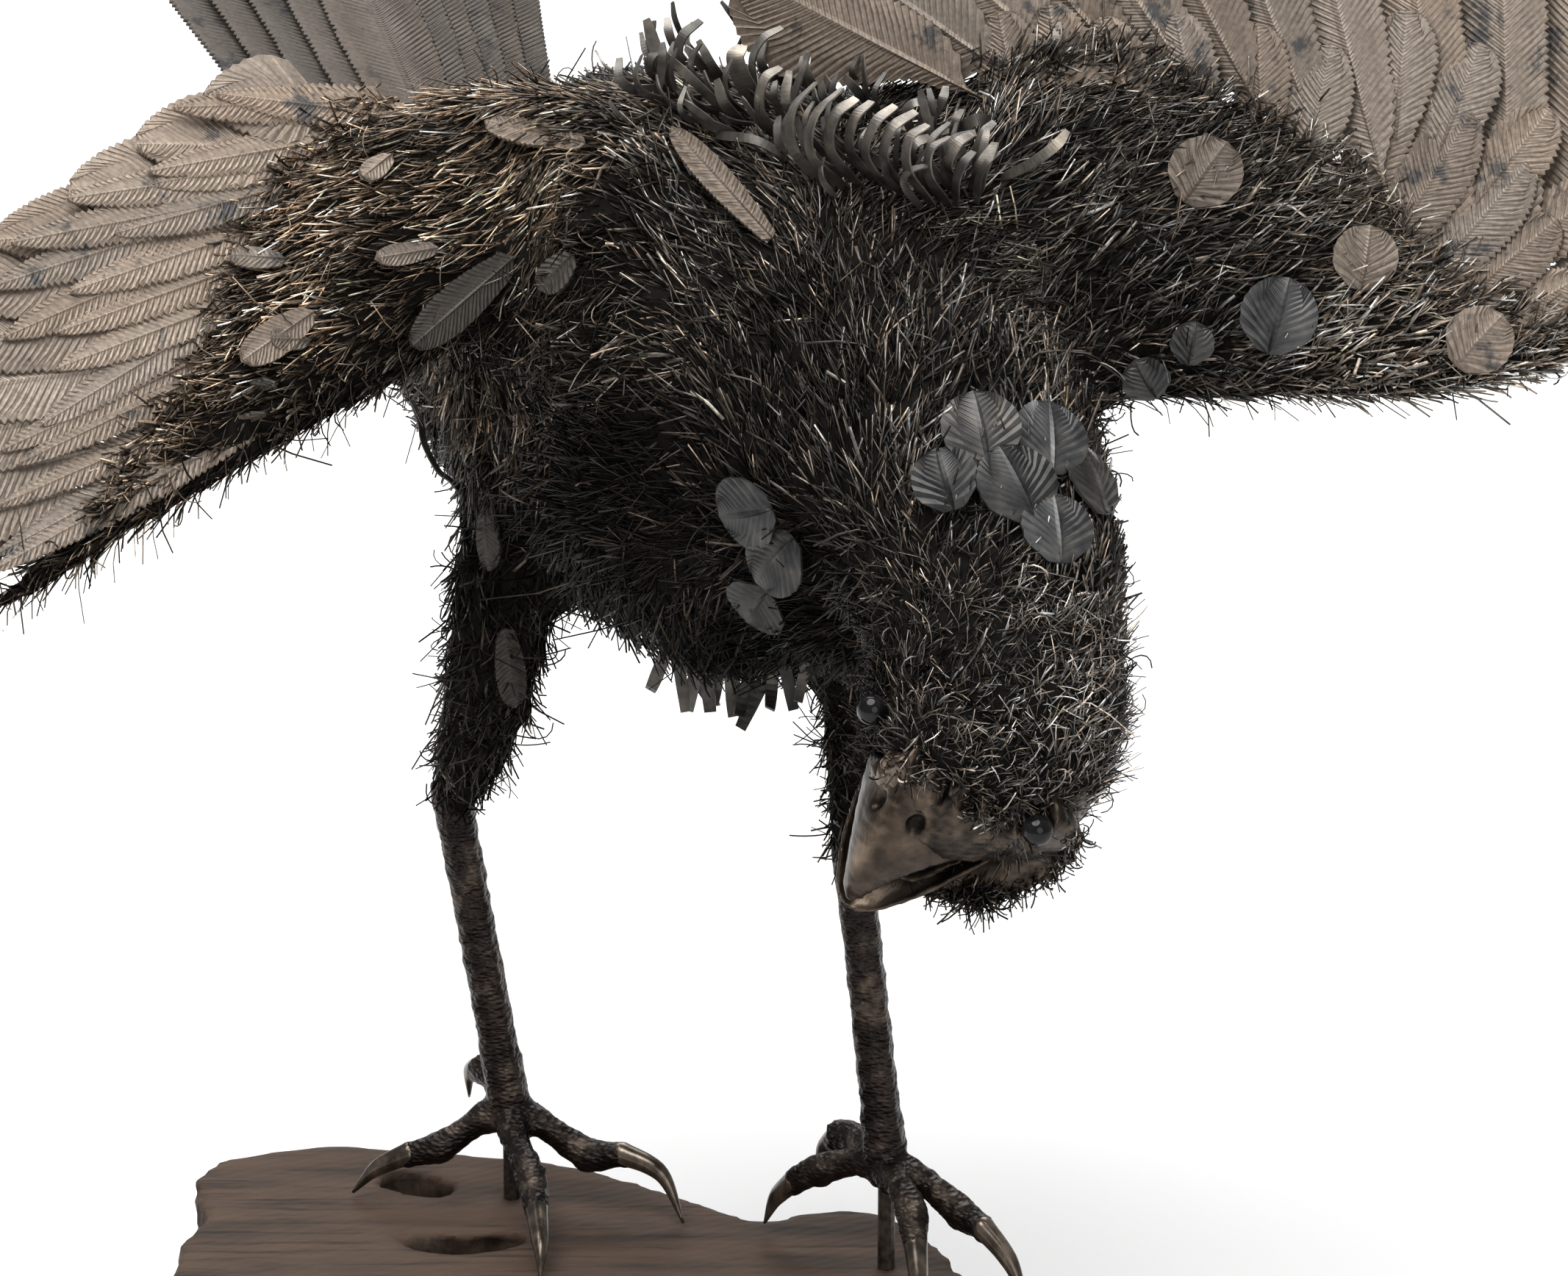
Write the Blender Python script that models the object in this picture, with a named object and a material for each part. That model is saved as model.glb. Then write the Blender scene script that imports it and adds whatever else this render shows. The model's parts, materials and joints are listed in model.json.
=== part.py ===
"""Metal falcon bending forward with spread wings, standing on a sawn wood slab.

Metres, +Z up. The underside of the slab is the plane Z = 0. The bird faces -Y.
Right and left are the bird's own, so its right wing and leg are at -X.
The figure's points are in shares of its height: HEIGHT_SHARES of them, from the slab to its back.
"""

import math

import bmesh
import bpy
from mathutils import Matrix, Vector
from mathutils.bvhtree import BVHTree

# Driving dimensions, in metres
BIRD_HEIGHT = 0.300
SLAB_THICKNESS = 0.045
SLAB_LENGTH = 0.228
SLAB_WIDTH = 0.174
FIT_GAP = 0.0004
CLAW_REST_GAP = 0.0004
BEAK_SEAT_GAP = 0.0010
PEG_RADIUS = 0.0022
PEG_DEPTH_IN_SLAB = 0.020
PEG_DEPTH_IN_FOOT = 0.005
TARSUS_RADIUS = 0.0042
TENON_LENGTH = 0.012
EYE_RADIUS = 0.0048
QUILL_RADIUS = 0.0010
QUILL_DEPTH = 0.007
VANE_START = 0.0015
VANE_THICKNESS = 0.0013
VANE_CLEARANCE = 0.0012
FLIGHT_STEP = 0.0021
TAIL_STEP = 0.0016
KNOT_HOLE_DEPTH = 0.018
SPLIT_DEPTH = 0.014

HEIGHT_SHARES = 300.0
UNIT = BIRD_HEIGHT / HEIGHT_SHARES

# Counts
WING_FEATHERS = 16
TAIL_FEATHERS = 10
BODY_SIDES = 20
LIMB_SIDES = 12
PEG_SIDES = 12
EYE_SEGMENTS = 12
EYE_RINGS = 8
FIGURE_FACES = 2760
BEAK_FACES = 330
BEAK_SEAT_FACES = 320
LEG_FACES = 620
FIGURE_SMOOTH_COUNT = 24
CASTING_SMOOTH_COUNT = 2
FIGURE_VOXEL = 0.0022
BEAK_VOXEL = 0.0007
LEG_VOXEL = 0.0008


def place(x, y, z):
    """A point of the bird, given in shares, with z counted from the slab's top."""
    return Vector((x * UNIT, y * UNIT, SLAB_THICKNESS + z * UNIT))


# Torso and neck: x, y, z, half width, half height of each section
TORSO = (
    (-36, 192, 228, 20, 9),
    (-31, 182, 229, 27, 15),
    (-17, 156, 230, 44, 36),
    (8, 112, 229, 65, 61),
    (36, 68, 227, 76, 74),
    (64, 22, 226, 68, 74),
    (83, -10, 226, 52, 64),
    (93, -36, 217, 41, 52),
)
NECK = (
    (82, -4, 232, 48, 50),
    (96, -38, 222, 39, 43),
    (104, -60, 206, 34, 37),
    (108, -74, 193, 30, 31),
    (108, -80, 186, 27, 27),
)

# Head, in its own frame: forward to the beak, left, and up to the crown
HEAD_CENTRE = (101, -87, 181)
HEAD_FORWARD = Vector((-0.590, -0.350, -0.730)).normalized()
HEAD_LEFT = Vector((0.846, -0.335, -0.413))
# forward, half width, half height, rise of the section's centre
HEAD = (
    (-37, 15, 14, 0),
    (-30, 25, 23, 0),
    (-16, 32, 29, 0),
    (-2, 34, 30, 0),
    (8, 33, 28, -0.5),
    (14, 29.5, 25.5, -1),
    (20, 24, 22, -1.5),
)
# Cheeks and chin, which reach forward under the mouth, in the same order
JAW = (
    (0, 31, 18, -9),
    (10, 33, 17, -10),
    (17, 31, 13, -13),
    (23, 27.5, 9.5, -15.5),
    (29, 22, 8, -16.5),
    (34, 16, 6, -16.5),
    (37.5, 9, 4, -16),
)
EYE_PLACE = (11, 24, 14.2)
# forward, half width, top, bottom
UPPER_BEAK = (
    (17.9, 19.0, 17.0, -4.0),
    (24, 16.0, 14.5, -3.5),
    (31, 12.0, 10.5, -3.5),
    (38, 7.8, 5.5, -4.0),
    (43, 4.8, 0.5, -5.0),
    (46.5, 2.8, -3.5, -7.5),
    (48.0, 1.2, -7.0, -9.5),
)
LOWER_BEAK = (
    (17.9, 17.5, -5.0, -17.0),
    (24, 15.0, -6.0, -16.5),
    (31, 12.0, -7.0, -15.5),
    (38, 8.6, -9.0, -15.0),
    (43, 5.6, -11.0, -15.0),
    (46.5, 3.0, -12.2, -14.6),
)
GAPE = ((17.9, 16.5, 0.0, -9.0), (22.5, 14.0, 0.0, -9.0))
# Height of the room between the two halves of the beak
MOUTH_ROOM = 5.0

# Thighs: x, y, z, radius; the last section is the ankle, where the bare leg starts
RIGHT_THIGH = (
    (0, 58, 215, 30),
    (-10, 50, 190, 20),
    (-16, 46, 172, 16.5),
    (-18, 50, 154, 16),
    (-22, 56, 132, 15),
    (-28.6, 61, 112, 11.5),
    (-29.3, 62, 101, 9),
)
LEFT_THIGH = (
    (68, 46, 210, 30),
    (74, 36, 190, 20),
    (76, 28, 172, 16.5),
    (76, 26, 154, 16),
    (75, 23, 132, 14.5),
    (73, 20, 112, 11.5),
    (72.6, 19.5, 101, 9),
)

# Feet: the hub over the peg, and each toe's points with their radii, knuckle pads and claw
RIGHT_HUB = (-16.3, 55, 24)
LEFT_HUB = (80.5, 12, 28)
PAD_RADII = (4.6, 3.7, 4.3, 3.3, 2.4, 0.7)
HIND_RADII = (4.3, 3.5, 3.1, 2.2, 0.8)
RIGHT_TOES = (
    ((-22, 55, 22.5), (-27, 55, 19.3), (-34.5, 54, 14.4), (-43.2, 54, 12), (-51.5, 54, 7.8), (-57.7, 53.7, 0.8)),
    ((-15.5, 49, 21), (-14, 43, 18.8), (-10.5, 33, 15.3), (-8.6, 21, 11), (-7.3, 9, 7), (-7.2, 2, 0.8)),
    ((-11, 53, 22.5), (-5.7, 51, 20.2), (3.9, 46, 15.6), (13.4, 43, 16.8), (23, 39, 13), (28.6, 34.7, 0.8)),
    ((-18, 61, 25), (-21, 68, 27), (-25, 75, 28), (-28, 81, 23.5), (-28.5, 84, 15)),
)
LEFT_TOES = (
    ((76, 15, 28), (71, 18, 26), (63.5, 22, 22), (57, 26, 17), (52.5, 29, 11), (49.5, 31, 3)),
    ((82, 6, 27.5), (83.8, 0, 27.5), (86.5, -8, 23.9), (87.4, -15.5, 18), (88.1, -23, 10), (87.6, -27, 0.8)),
    ((86, 8, 27.5), (91.3, 4, 26), (99, -2.5, 21.3), (104.9, -9, 19.6), (111.4, -16, 13.2), (115.8, -22, 0.8)),
    ((77, 18, 30), (72.9, 24, 30.5), (68, 30, 28.5), (64.5, 35, 22), (63, 38, 14)),
)

# Wings: each has a frame of its own, outward along the arm and back across it, from its leading edge
RIGHT_WING_START = (-29, -10, 243)
RIGHT_WING_OUT = Vector((-0.706, -0.676, -0.212)).normalized()
RIGHT_WING_TOP = Vector((0.480, -0.676, 0.560))
LEFT_WING_START = (142, 0, 231)
LEFT_WING_OUT = Vector((0.960, -0.250, -0.100)).normalized()
LEFT_WING_TOP = Vector((-0.192, -0.890, 0.415))
# outward, back, half chord, half thickness
RIGHT_ARM = (
    (-62, 22, 34, 26),
    (-38, 32, 34, 24),
    (-12, 35, 34, 20),
    (20, 30, 31, 15.5),
    (50, 20, 21, 12),
    (80, 12, 13, 9.5),
    (107, 7, 9, 8),
    (133, 4.5, 7, 7),
    (160, 3.5, 6, 6),
    (184, 3, 4.5, 4.5),
)
LEFT_ARM = (
    (-50, 38, 42, 30),
    (-18, 40, 42, 26),
    (9, 41, 40, 21),
    (37, 37, 32, 16),
    (61, 30, 20, 12.5),
    (83, 31, 13, 10),
    (101, 38, 10, 8.5),
    (119, 47, 8, 7),
    (138, 59, 6.5, 6),
    (158, 72, 5, 5),
)
# Shoulders, which join the arms to the torso: x, y, z, half chord, half thickness
RIGHT_SHOULDER = ((62, 46, 252, 46, 40), (20, 22, 268, 44, 34), (-12, 6, 276, 38, 26))
LEFT_SHOULDER = ((60, 52, 252, 46, 40), (92, 42, 260, 45, 34), (126, 32, 266, 40, 27))
# Feather roots (outward, back), then how each wing's fan opens: share along the roots, angle, length
RIGHT_ROOTS = ((-46, 47), (-22, 43), (3, 36), (28, 27), (54, 18), (80, 10), (107, 6), (133, 3.5), (160, 3))
LEFT_ROOTS = ((-30, 62), (0, 62), (28, 55), (54, 42), (76, 37), (97, 41), (116, 49), (137, 60), (154, 71))
RIGHT_FAN = ((0.0, 31, 84), (0.15, 26, 104), (0.45, 18, 172), (0.75, 11, 232), (0.9, 6, 236), (1.0, 3, 214))
LEFT_FAN = ((0.0, 163, 96), (0.2, 142, 128), (0.45, 117, 168), (0.72, 92, 212), (0.9, 62, 246), (1.0, 44, 236))
FLIGHT_WIDTH_INNER = 0.031
FLIGHT_WIDTH_OUTER = 0.027
FLIGHT_TWIST = math.radians(13)
FLIGHT_DROOP = 0.07
LEADING_SHARE = 0.38

# Tail: its root, its direction, and the fan of its feathers
TAIL_ROOT = (-33, 184, 230)
TAIL_ALONG = Vector((-0.290, 0.860, 0.420)).normalized()
TAIL_LENGTH = 0.200
TAIL_WIDTH = 0.027
TAIL_ROOT_WIDTH = 40.0
TAIL_SPREAD = math.radians(20)

# Share of the vane's length, share of its width, share of its thickness
VANE = (
    (0.06, 0.55, 1.0),
    (0.17, 0.85, 0.9),
    (0.42, 1.0, 0.8),
    (0.74, 0.96, 0.65),
    (0.91, 0.68, 0.5),
    (0.98, 0.34, 0.4),
    (1.0, 0.06, 0.3),
)

# Slab outline, in shares of its length and width, clockwise from the left end
OUTLINE_LENGTH = 228.0
OUTLINE_WIDTH = 174.0
SLAB_OUTLINE = (
    (-103, -8), (-102, 8), (-101, 26), (-96, 41), (-99, 52), (-101, 66), (-95, 78), (-81, 85),
    (-65, 88), (-44, 85), (-30, 82), (-14, 80), (3, 73), (20, 61), (32, 52), (44, 42), (52, 40),
    (60, 45), (70, 48), (79, 46), (88, 37), (96, 22), (101, 7), (111, -5), (121, -20), (123, -42),
    (114, -62), (92, -76), (60, -83), (25, -81), (-10, -86), (-45, -80), (-76, -73), (-96, -55),
    (-107, -32),
)
# Height share, size share: the live edge leans in below and has a worn rim on top
SLAB_LEVELS = ((0.0, 0.95), (0.3, 0.985), (0.93, 1.0), (1.0, 0.988))
KNOT_HOLE = ((-53, 63), (-46, 70), (-36, 67), (-31, 60), (-35, 54), (-44, 57))
SPLIT_HOLE = ((-47, 31), (-44, 34), (-30, 30), (-13, 32), (-10, 28), (-17, 23), (-28, 19), (-40, 22))
HOLE_TAPER = 0.75


def add_material(name, colour, roughness, metallic):
    material = bpy.data.materials.new(name)
    material.use_nodes = True
    shader = material.node_tree.nodes["Principled BSDF"]
    shader.inputs["Base Color"].default_value = (*colour, 1.0)
    shader.inputs["Roughness"].default_value = roughness
    shader.inputs["Metallic"].default_value = metallic
    return material


def add_object(name, bm, material, smooth_below=40):
    """Turns a bmesh into a named object with normals facing out."""
    bmesh.ops.recalc_face_normals(bm, faces=bm.faces[:])
    mesh = bpy.data.meshes.new(name)
    bm.to_mesh(mesh)
    bm.free()
    mesh.shade_smooth()
    mesh.set_sharp_from_angle(angle=math.radians(smooth_below))
    mesh.materials.append(material)
    obj = bpy.data.objects.new(name, mesh)
    bpy.context.scene.collection.objects.link(obj)
    return obj


def add_cutter(name, bm):
    cutter = add_object(name, bm, MATERIALS["cut"])
    cutter.hide_render = True
    cutter.display_type = "WIRE"
    return cutter


def cut(obj, cutter):
    modifier = obj.modifiers.new("Sockets", "BOOLEAN")
    modifier.operation = "DIFFERENCE"
    modifier.object = cutter


def add_loft(bm, rings):
    """A closed skin through rings of as many points each, with a flat cap at each end."""
    made = [[bm.verts.new(point) for point in ring] for ring in rings]
    for first, second in zip(made, made[1:]):
        for i, corner in enumerate(first):
            j = (i + 1) % len(first)
            bm.faces.new((corner, first[j], second[j], second[i]))
    bm.faces.new(made[0][::-1])
    bm.faces.new(made[-1])


def ellipse(centre, across, over, sides):
    """A ring of points round centre, with across and over as its half axes."""
    turns = (2 * math.pi * i / sides for i in range(sides))
    return [centre + across * math.cos(turn) + over * math.sin(turn) for turn in turns]


def directions(points):
    """The way along a row of points, at each of them."""
    ends = [points[0], *points, points[-1]]
    return [(after - before).normalized() for before, after in zip(ends, ends[2:])]


def upright_rings(sections, sides):
    """Sections (x, y, z, half width, half height) that stand across their own route."""
    points = [place(*section[:3]) for section in sections]
    rings = []
    for point, along, section in zip(points, directions(points), sections):
        across = along.cross(Vector((0, 0, 1))).normalized()
        over = across.cross(along)
        rings.append(ellipse(point, across * section[3] * UNIT, over * section[4] * UNIT, sides))
    return rings


def round_rings(points, radii, sides):
    """Round sections along a row of points, each turned as little as its neighbour lets it."""
    rings = []
    ways = directions(points)
    across = ways[0].orthogonal().normalized()
    for point, along, radius in zip(points, ways, radii):
        across = (across - along * across.dot(along)).normalized()
        rings.append(ellipse(point, across * radius, along.cross(across) * radius, sides))
    return rings


def interpolate(table, share):
    """Reads a row of a table whose first column is a rising share."""
    for low, high in zip(table, table[1:]):
        if share <= high[0]:
            part = (share - low[0]) / (high[0] - low[0])
            return [a + (b - a) * part for a, b in zip(low[1:], high[1:])]
    return list(table[-1][1:])


def along_route(route, share):
    """The point at a share of the length of a route through flat points."""
    points = [Vector(point) for point in route]
    lengths = [(b - a).length for a, b in zip(points, points[1:])]
    left = share * sum(lengths)
    for a, b, length in zip(points, points[1:], lengths):
        if left <= length:
            return a.lerp(b, left / length)
        left -= length
    return points[-1]


def fused(name, bm, material, voxel, smoothing, faces):
    """Melts overlapping closed skins into one, and keeps about the number of faces given."""
    obj = add_object(name, bm, material)
    remesh = obj.modifiers.new("Fuse", "REMESH")
    remesh.mode = "VOXEL"
    remesh.voxel_size = voxel
    smooth = obj.modifiers.new("Melt the seams", "SMOOTH")
    smooth.iterations = smoothing
    triangulate = obj.modifiers.new("Triangles", "TRIANGULATE")
    graph = bpy.context.evaluated_depsgraph_get()
    count = len(obj.evaluated_get(graph).data.polygons)
    decimate = obj.modifiers.new("Fewer", "DECIMATE")
    decimate.ratio = min(1.0, faces / count)
    graph = bpy.context.evaluated_depsgraph_get()
    mesh = bpy.data.meshes.new_from_object(obj.evaluated_get(graph))
    for modifier in (remesh, smooth, triangulate, decimate):
        obj.modifiers.remove(modifier)
    obj.data = mesh
    mesh.shade_smooth()
    return obj


class Wing:
    """One wing's frame: outward along the arm, back across it, and top, away from its underside."""

    def __init__(self, start, out, top, side):
        self.start = place(*start)
        self.out = out
        self.top = (top - out * top.dot(out)).normalized()
        self.back = out.cross(self.top) * side
        self.side = side

    def point(self, outward, back, up=0.0):
        return self.start + (self.out * outward + self.back * back + self.top * up) * UNIT

    def arm_rings(self, arm):
        centres = [self.point(row[0], row[1]) for row in arm]
        rings = []
        for centre, along, row in zip(centres, directions(centres), arm):
            chord = self.top.cross(along).normalized()
            rings.append(ellipse(centre, chord * row[2] * UNIT, self.top * row[3] * UNIT, BODY_SIDES))
        return rings

    def shoulder_rings(self, shoulder):
        centres = [place(*row[:3]) for row in shoulder]
        rings = []
        for centre, along, row in zip(centres, directions(centres), shoulder):
            chord = self.top.cross(along).normalized()
            over = along.cross(chord)
            rings.append(ellipse(centre, chord * row[3] * UNIT, over * row[4] * UNIT, BODY_SIDES))
        return rings


def head_frame():
    """The head's centre and its three directions: forward, left and up."""
    left = (HEAD_LEFT - HEAD_FORWARD * HEAD_LEFT.dot(HEAD_FORWARD)).normalized()
    return place(*HEAD_CENTRE), HEAD_FORWARD, left, HEAD_FORWARD.cross(left)


def head_point(forward, left, up):
    centre, ahead, leftward, upward = head_frame()
    return centre + (ahead * forward + leftward * left + upward * up) * UNIT


def head_rings(rows):
    _, _, left, up = head_frame()
    return [
        ellipse(head_point(forward, 0, rise), left * wide * UNIT, up * high * UNIT, BODY_SIDES)
        for forward, wide, high, rise in rows
    ]


def beak_rings(rows, arch):
    """Half-round sections: arch 1 rounds their top and -1 their underside."""
    _, _, left, up = head_frame()
    rings = []
    for forward, wide, top, bottom in rows:
        flat, crown = (bottom, top) if arch > 0 else (top, bottom)
        base = head_point(forward, 0, flat)
        ring = []
        for i in range(LIMB_SIDES + 1):
            turn = math.pi * i / LIMB_SIDES
            ring.append(
                base + left * wide * math.cos(turn) * UNIT + up * (crown - flat) * math.sin(turn) * UNIT
            )
        rings.append(ring)
    return rings


def eye_point(side):
    forward, left, up = EYE_PLACE
    return head_point(forward, left * side, up)


def build_figure():
    """Torso, neck, head, arms and feathered thighs, soldered into one body."""
    bm = bmesh.new()
    add_loft(bm, upright_rings(TORSO, BODY_SIDES))
    add_loft(bm, upright_rings(NECK, BODY_SIDES))
    add_loft(bm, head_rings(HEAD))
    add_loft(bm, head_rings(JAW))
    for wing, arm, shoulder in (
        (RIGHT_WING, RIGHT_ARM, RIGHT_SHOULDER),
        (LEFT_WING, LEFT_ARM, LEFT_SHOULDER),
    ):
        add_loft(bm, wing.arm_rings(arm))
        add_loft(bm, wing.shoulder_rings(shoulder))
    for thigh in (RIGHT_THIGH, LEFT_THIGH):
        points = [place(*row[:3]) for row in thigh]
        add_loft(bm, round_rings(points, [row[3] * UNIT for row in thigh], BODY_SIDES))
    return fused("falcon_figure", bm, MATERIALS["dark_wire"], FIGURE_VOXEL, FIGURE_SMOOTH_COUNT, FIGURE_FACES)


def add_prism(bm, start, end, across, over, sides=4):
    """A straight prism from start to end."""
    add_loft(bm, [ellipse(start, across, over, sides), ellipse(end, across, over, sides)])


def leg_route(thigh, hub):
    """The bare leg's ends: up in the thigh's socket, at the ankle, and at the hub."""
    ankle = place(*thigh[-1][:3])
    foot = place(*hub)
    rise = (ankle - foot).normalized()
    return ankle + rise * TENON_LENGTH, ankle, foot


def build_leg(name, thigh, hub, toes):
    """One casting: the bare leg, the hub and four toes with their claws."""
    top, ankle, foot = leg_route(thigh, hub)
    bm = bmesh.new()
    route = [top, ankle, ankle.lerp(foot, 0.3), ankle.lerp(foot, 0.72), foot]
    shares = (1.0, 1.0, 0.93, 0.95, 1.35)
    add_loft(bm, round_rings(route, [TARSUS_RADIUS * share for share in shares], LIMB_SIDES))
    hub_size = 6.2 * UNIT
    bmesh.ops.create_icosphere(bm, subdivisions=2, radius=hub_size, matrix=Matrix.Translation(foot))
    for toe in toes:
        points = [foot] + [place(x, y, z) + Vector((0, 0, CLAW_REST_GAP)) for x, y, z in toe]
        radii = PAD_RADII if len(toe) == len(PAD_RADII) else HIND_RADII
        sizes = [5.0 * UNIT] + [radius * UNIT for radius in radii]
        add_loft(bm, round_rings(points, sizes, LIMB_SIDES))
    leg = fused(name, bm, MATERIALS["cast_leg"], LEG_VOXEL, CASTING_SMOOTH_COUNT, LEG_FACES)
    socket = bmesh.new()
    peg_top = foot.z - 6.2 * UNIT + PEG_DEPTH_IN_FOOT
    reach = PEG_RADIUS + FIT_GAP
    add_prism(
        socket,
        Vector((foot.x, foot.y, SLAB_THICKNESS + 2 * UNIT)),
        Vector((foot.x, foot.y, peg_top + FIT_GAP)),
        Vector((reach, 0, 0)),
        Vector((0, reach, 0)),
        PEG_SIDES,
    )
    cut(leg, add_cutter(name + "_socket", socket))
    return leg


def build_peg(name, hub):
    """The rod that holds a foot over the slab."""
    foot = place(*hub)
    bm = bmesh.new()
    add_prism(
        bm,
        Vector((foot.x, foot.y, SLAB_THICKNESS - PEG_DEPTH_IN_SLAB)),
        Vector((foot.x, foot.y, foot.z - 6.2 * UNIT + PEG_DEPTH_IN_FOOT)),
        Vector((PEG_RADIUS, 0, 0)),
        Vector((0, PEG_RADIUS, 0)),
        PEG_SIDES,
    )
    return add_object(name, bm, MATERIALS["peg_steel"])


def slab_ring(points, size, height):
    along = SLAB_LENGTH / OUTLINE_LENGTH
    across = SLAB_WIDTH / OUTLINE_WIDTH
    return [Vector((x * along * size, y * across * size, height)) for x, y in points]


def shrunk(points, share):
    middle = sum((Vector(point) for point in points), Vector((0, 0))) / len(points)
    return [middle + (Vector(point) - middle) * share for point in points]


def build_slab():
    """The sawn board with its live edge, knot hole, split and the two drilled peg holes."""
    bm = bmesh.new()
    add_loft(
        bm,
        [slab_ring(SLAB_OUTLINE, size, height * SLAB_THICKNESS) for height, size in SLAB_LEVELS],
    )
    slab = add_object("wood_slab", bm, MATERIALS["wood"], 30)
    holes = bmesh.new()
    over = SLAB_THICKNESS + FIT_GAP * 5
    for outline, depth in ((KNOT_HOLE, KNOT_HOLE_DEPTH), (SPLIT_HOLE, SPLIT_DEPTH)):
        floor = slab_ring(shrunk(outline, HOLE_TAPER), 1.0, SLAB_THICKNESS - depth)
        add_loft(holes, [floor, slab_ring(outline, 1.0, over)])
    for hub in (RIGHT_HUB, LEFT_HUB):
        foot = place(*hub)
        reach = PEG_RADIUS + FIT_GAP
        add_prism(
            holes,
            Vector((foot.x, foot.y, SLAB_THICKNESS - PEG_DEPTH_IN_SLAB - FIT_GAP)),
            Vector((foot.x, foot.y, over)),
            Vector((reach, 0, 0)),
            Vector((0, reach, 0)),
            PEG_SIDES,
        )
    cut(slab, add_cutter("wood_slab_holes", holes))
    return slab


def build_beak():
    """Upper and lower beak with the mouth a little open, cast in one with the root of the gape."""
    bm = bmesh.new()
    add_loft(bm, beak_rings(UPPER_BEAK, 1))
    add_loft(bm, beak_rings(LOWER_BEAK, -1))
    add_loft(bm, beak_rings(GAPE, 1))
    return fused("beak", bm, MATERIALS["beak_bronze"], BEAK_VOXEL, CASTING_SMOOTH_COUNT, BEAK_FACES)


def build_beak_seat():
    """The room that the beak and the open mouth take in the face, with a gap all round."""
    gap = BEAK_SEAT_GAP / UNIT
    upper = [(row[0], row[1] + gap, row[2] + gap, row[3] - gap) for row in UPPER_BEAK]
    lower = [(row[0], row[1] + gap, row[2] + gap, row[3] - gap) for row in LOWER_BEAK]
    mouth = [(row[0], row[1] + gap, row[2] + MOUTH_ROOM, row[2]) for row in LOWER_BEAK]
    bm = bmesh.new()
    for rows, arch in ((upper, 1), (lower, -1), (mouth, 1)):
        forward, *size = rows[0]
        add_loft(bm, beak_rings([(forward - gap, *size), *rows[1:]], arch))
    seat = fused("beak_seat", bm, MATERIALS["cut"], BEAK_VOXEL, CASTING_SMOOTH_COUNT, BEAK_SEAT_FACES)
    seat.hide_render = True
    seat.display_type = "WIRE"
    return seat


def add_eye_ball(bm, side, radius):
    bmesh.ops.create_uvsphere(
        bm,
        u_segments=EYE_SEGMENTS,
        v_segments=EYE_RINGS,
        radius=radius,
        matrix=Matrix.Translation(eye_point(side)),
    )


def build_eye(name, side):
    bm = bmesh.new()
    add_eye_ball(bm, side, EYE_RADIUS)
    return add_object(name, bm, MATERIALS["eye_black"], 180)


def is_clear(tree, point, gap):
    """Whether a point lies outside the figure's skin by at least the gap."""
    skin, normal, _, distance = tree.find_nearest(point)
    return (point - skin).dot(normal) > 0 and distance > gap


def surface_distance(tree, root, along):
    """How far the figure's outermost skin is from a root inside it, along the feather."""
    far = 400 * UNIT
    hit, _, _, distance = tree.ray_cast(root + along * far, -along)
    return far - distance if hit else 0.0


def clear_distance(tree, root, along, skin):
    """How far along the feather its shaft no longer brushes the figure."""
    distance = skin + VANE_START
    while not is_clear(tree, root + along * distance, QUILL_RADIUS + VANE_CLEARANCE):
        distance += VANE_START / 3
    return distance


def clear_edge(tree, centre, reach, before):
    """The vane's edge at one section, drawn in where it or the way to it would touch the figure."""
    for share in (1.0, 0.85, 0.7, 0.55, 0.4, 0.25, 0.12):
        edge = centre + reach * share
        if all(is_clear(tree, before.lerp(edge, part), VANE_CLEARANCE) for part in (0.3, 0.6, 0.8, 1.0)):
            return edge
    return centre + reach.normalized() * VANE_THICKNESS / 2


def build_feather(name, tree, sockets, root, along, top, lead, length, width, leading_share):
    """A feather of one sheet with a raised midrib, and the socket that its quill sits in."""
    skin = surface_distance(tree, root, along)
    free = clear_distance(tree, root, along, skin)
    quill_end = root + along * (skin - QUILL_DEPTH)
    start = root + along * free
    vane_length = length - free
    rings = [
        ellipse(quill_end, lead * QUILL_RADIUS, top * QUILL_RADIUS, 4),
        ellipse(start, lead * QUILL_RADIUS, top * QUILL_RADIUS, 4),
    ]
    front, _, back, _ = rings[-1]
    for share, wide, thick in VANE:
        droop = top * (FLIGHT_DROOP * vane_length * share * share)
        centre = start + along * (vane_length * share) - droop
        front = clear_edge(tree, centre, lead * (width * wide * leading_share), front)
        back = clear_edge(tree, centre, -lead * (width * wide * (1 - leading_share)), back)
        half = top * (VANE_THICKNESS * thick / 2)
        rings.append([front, centre + half, back, centre - half])
    bm = bmesh.new()
    add_loft(bm, rings)
    add_object(name, bm, MATERIALS["feather_sheet"])
    reach = QUILL_RADIUS + FIT_GAP * math.sqrt(2)
    add_prism(sockets, quill_end - along * FIT_GAP, start, lead * reach, top * reach)


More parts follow.
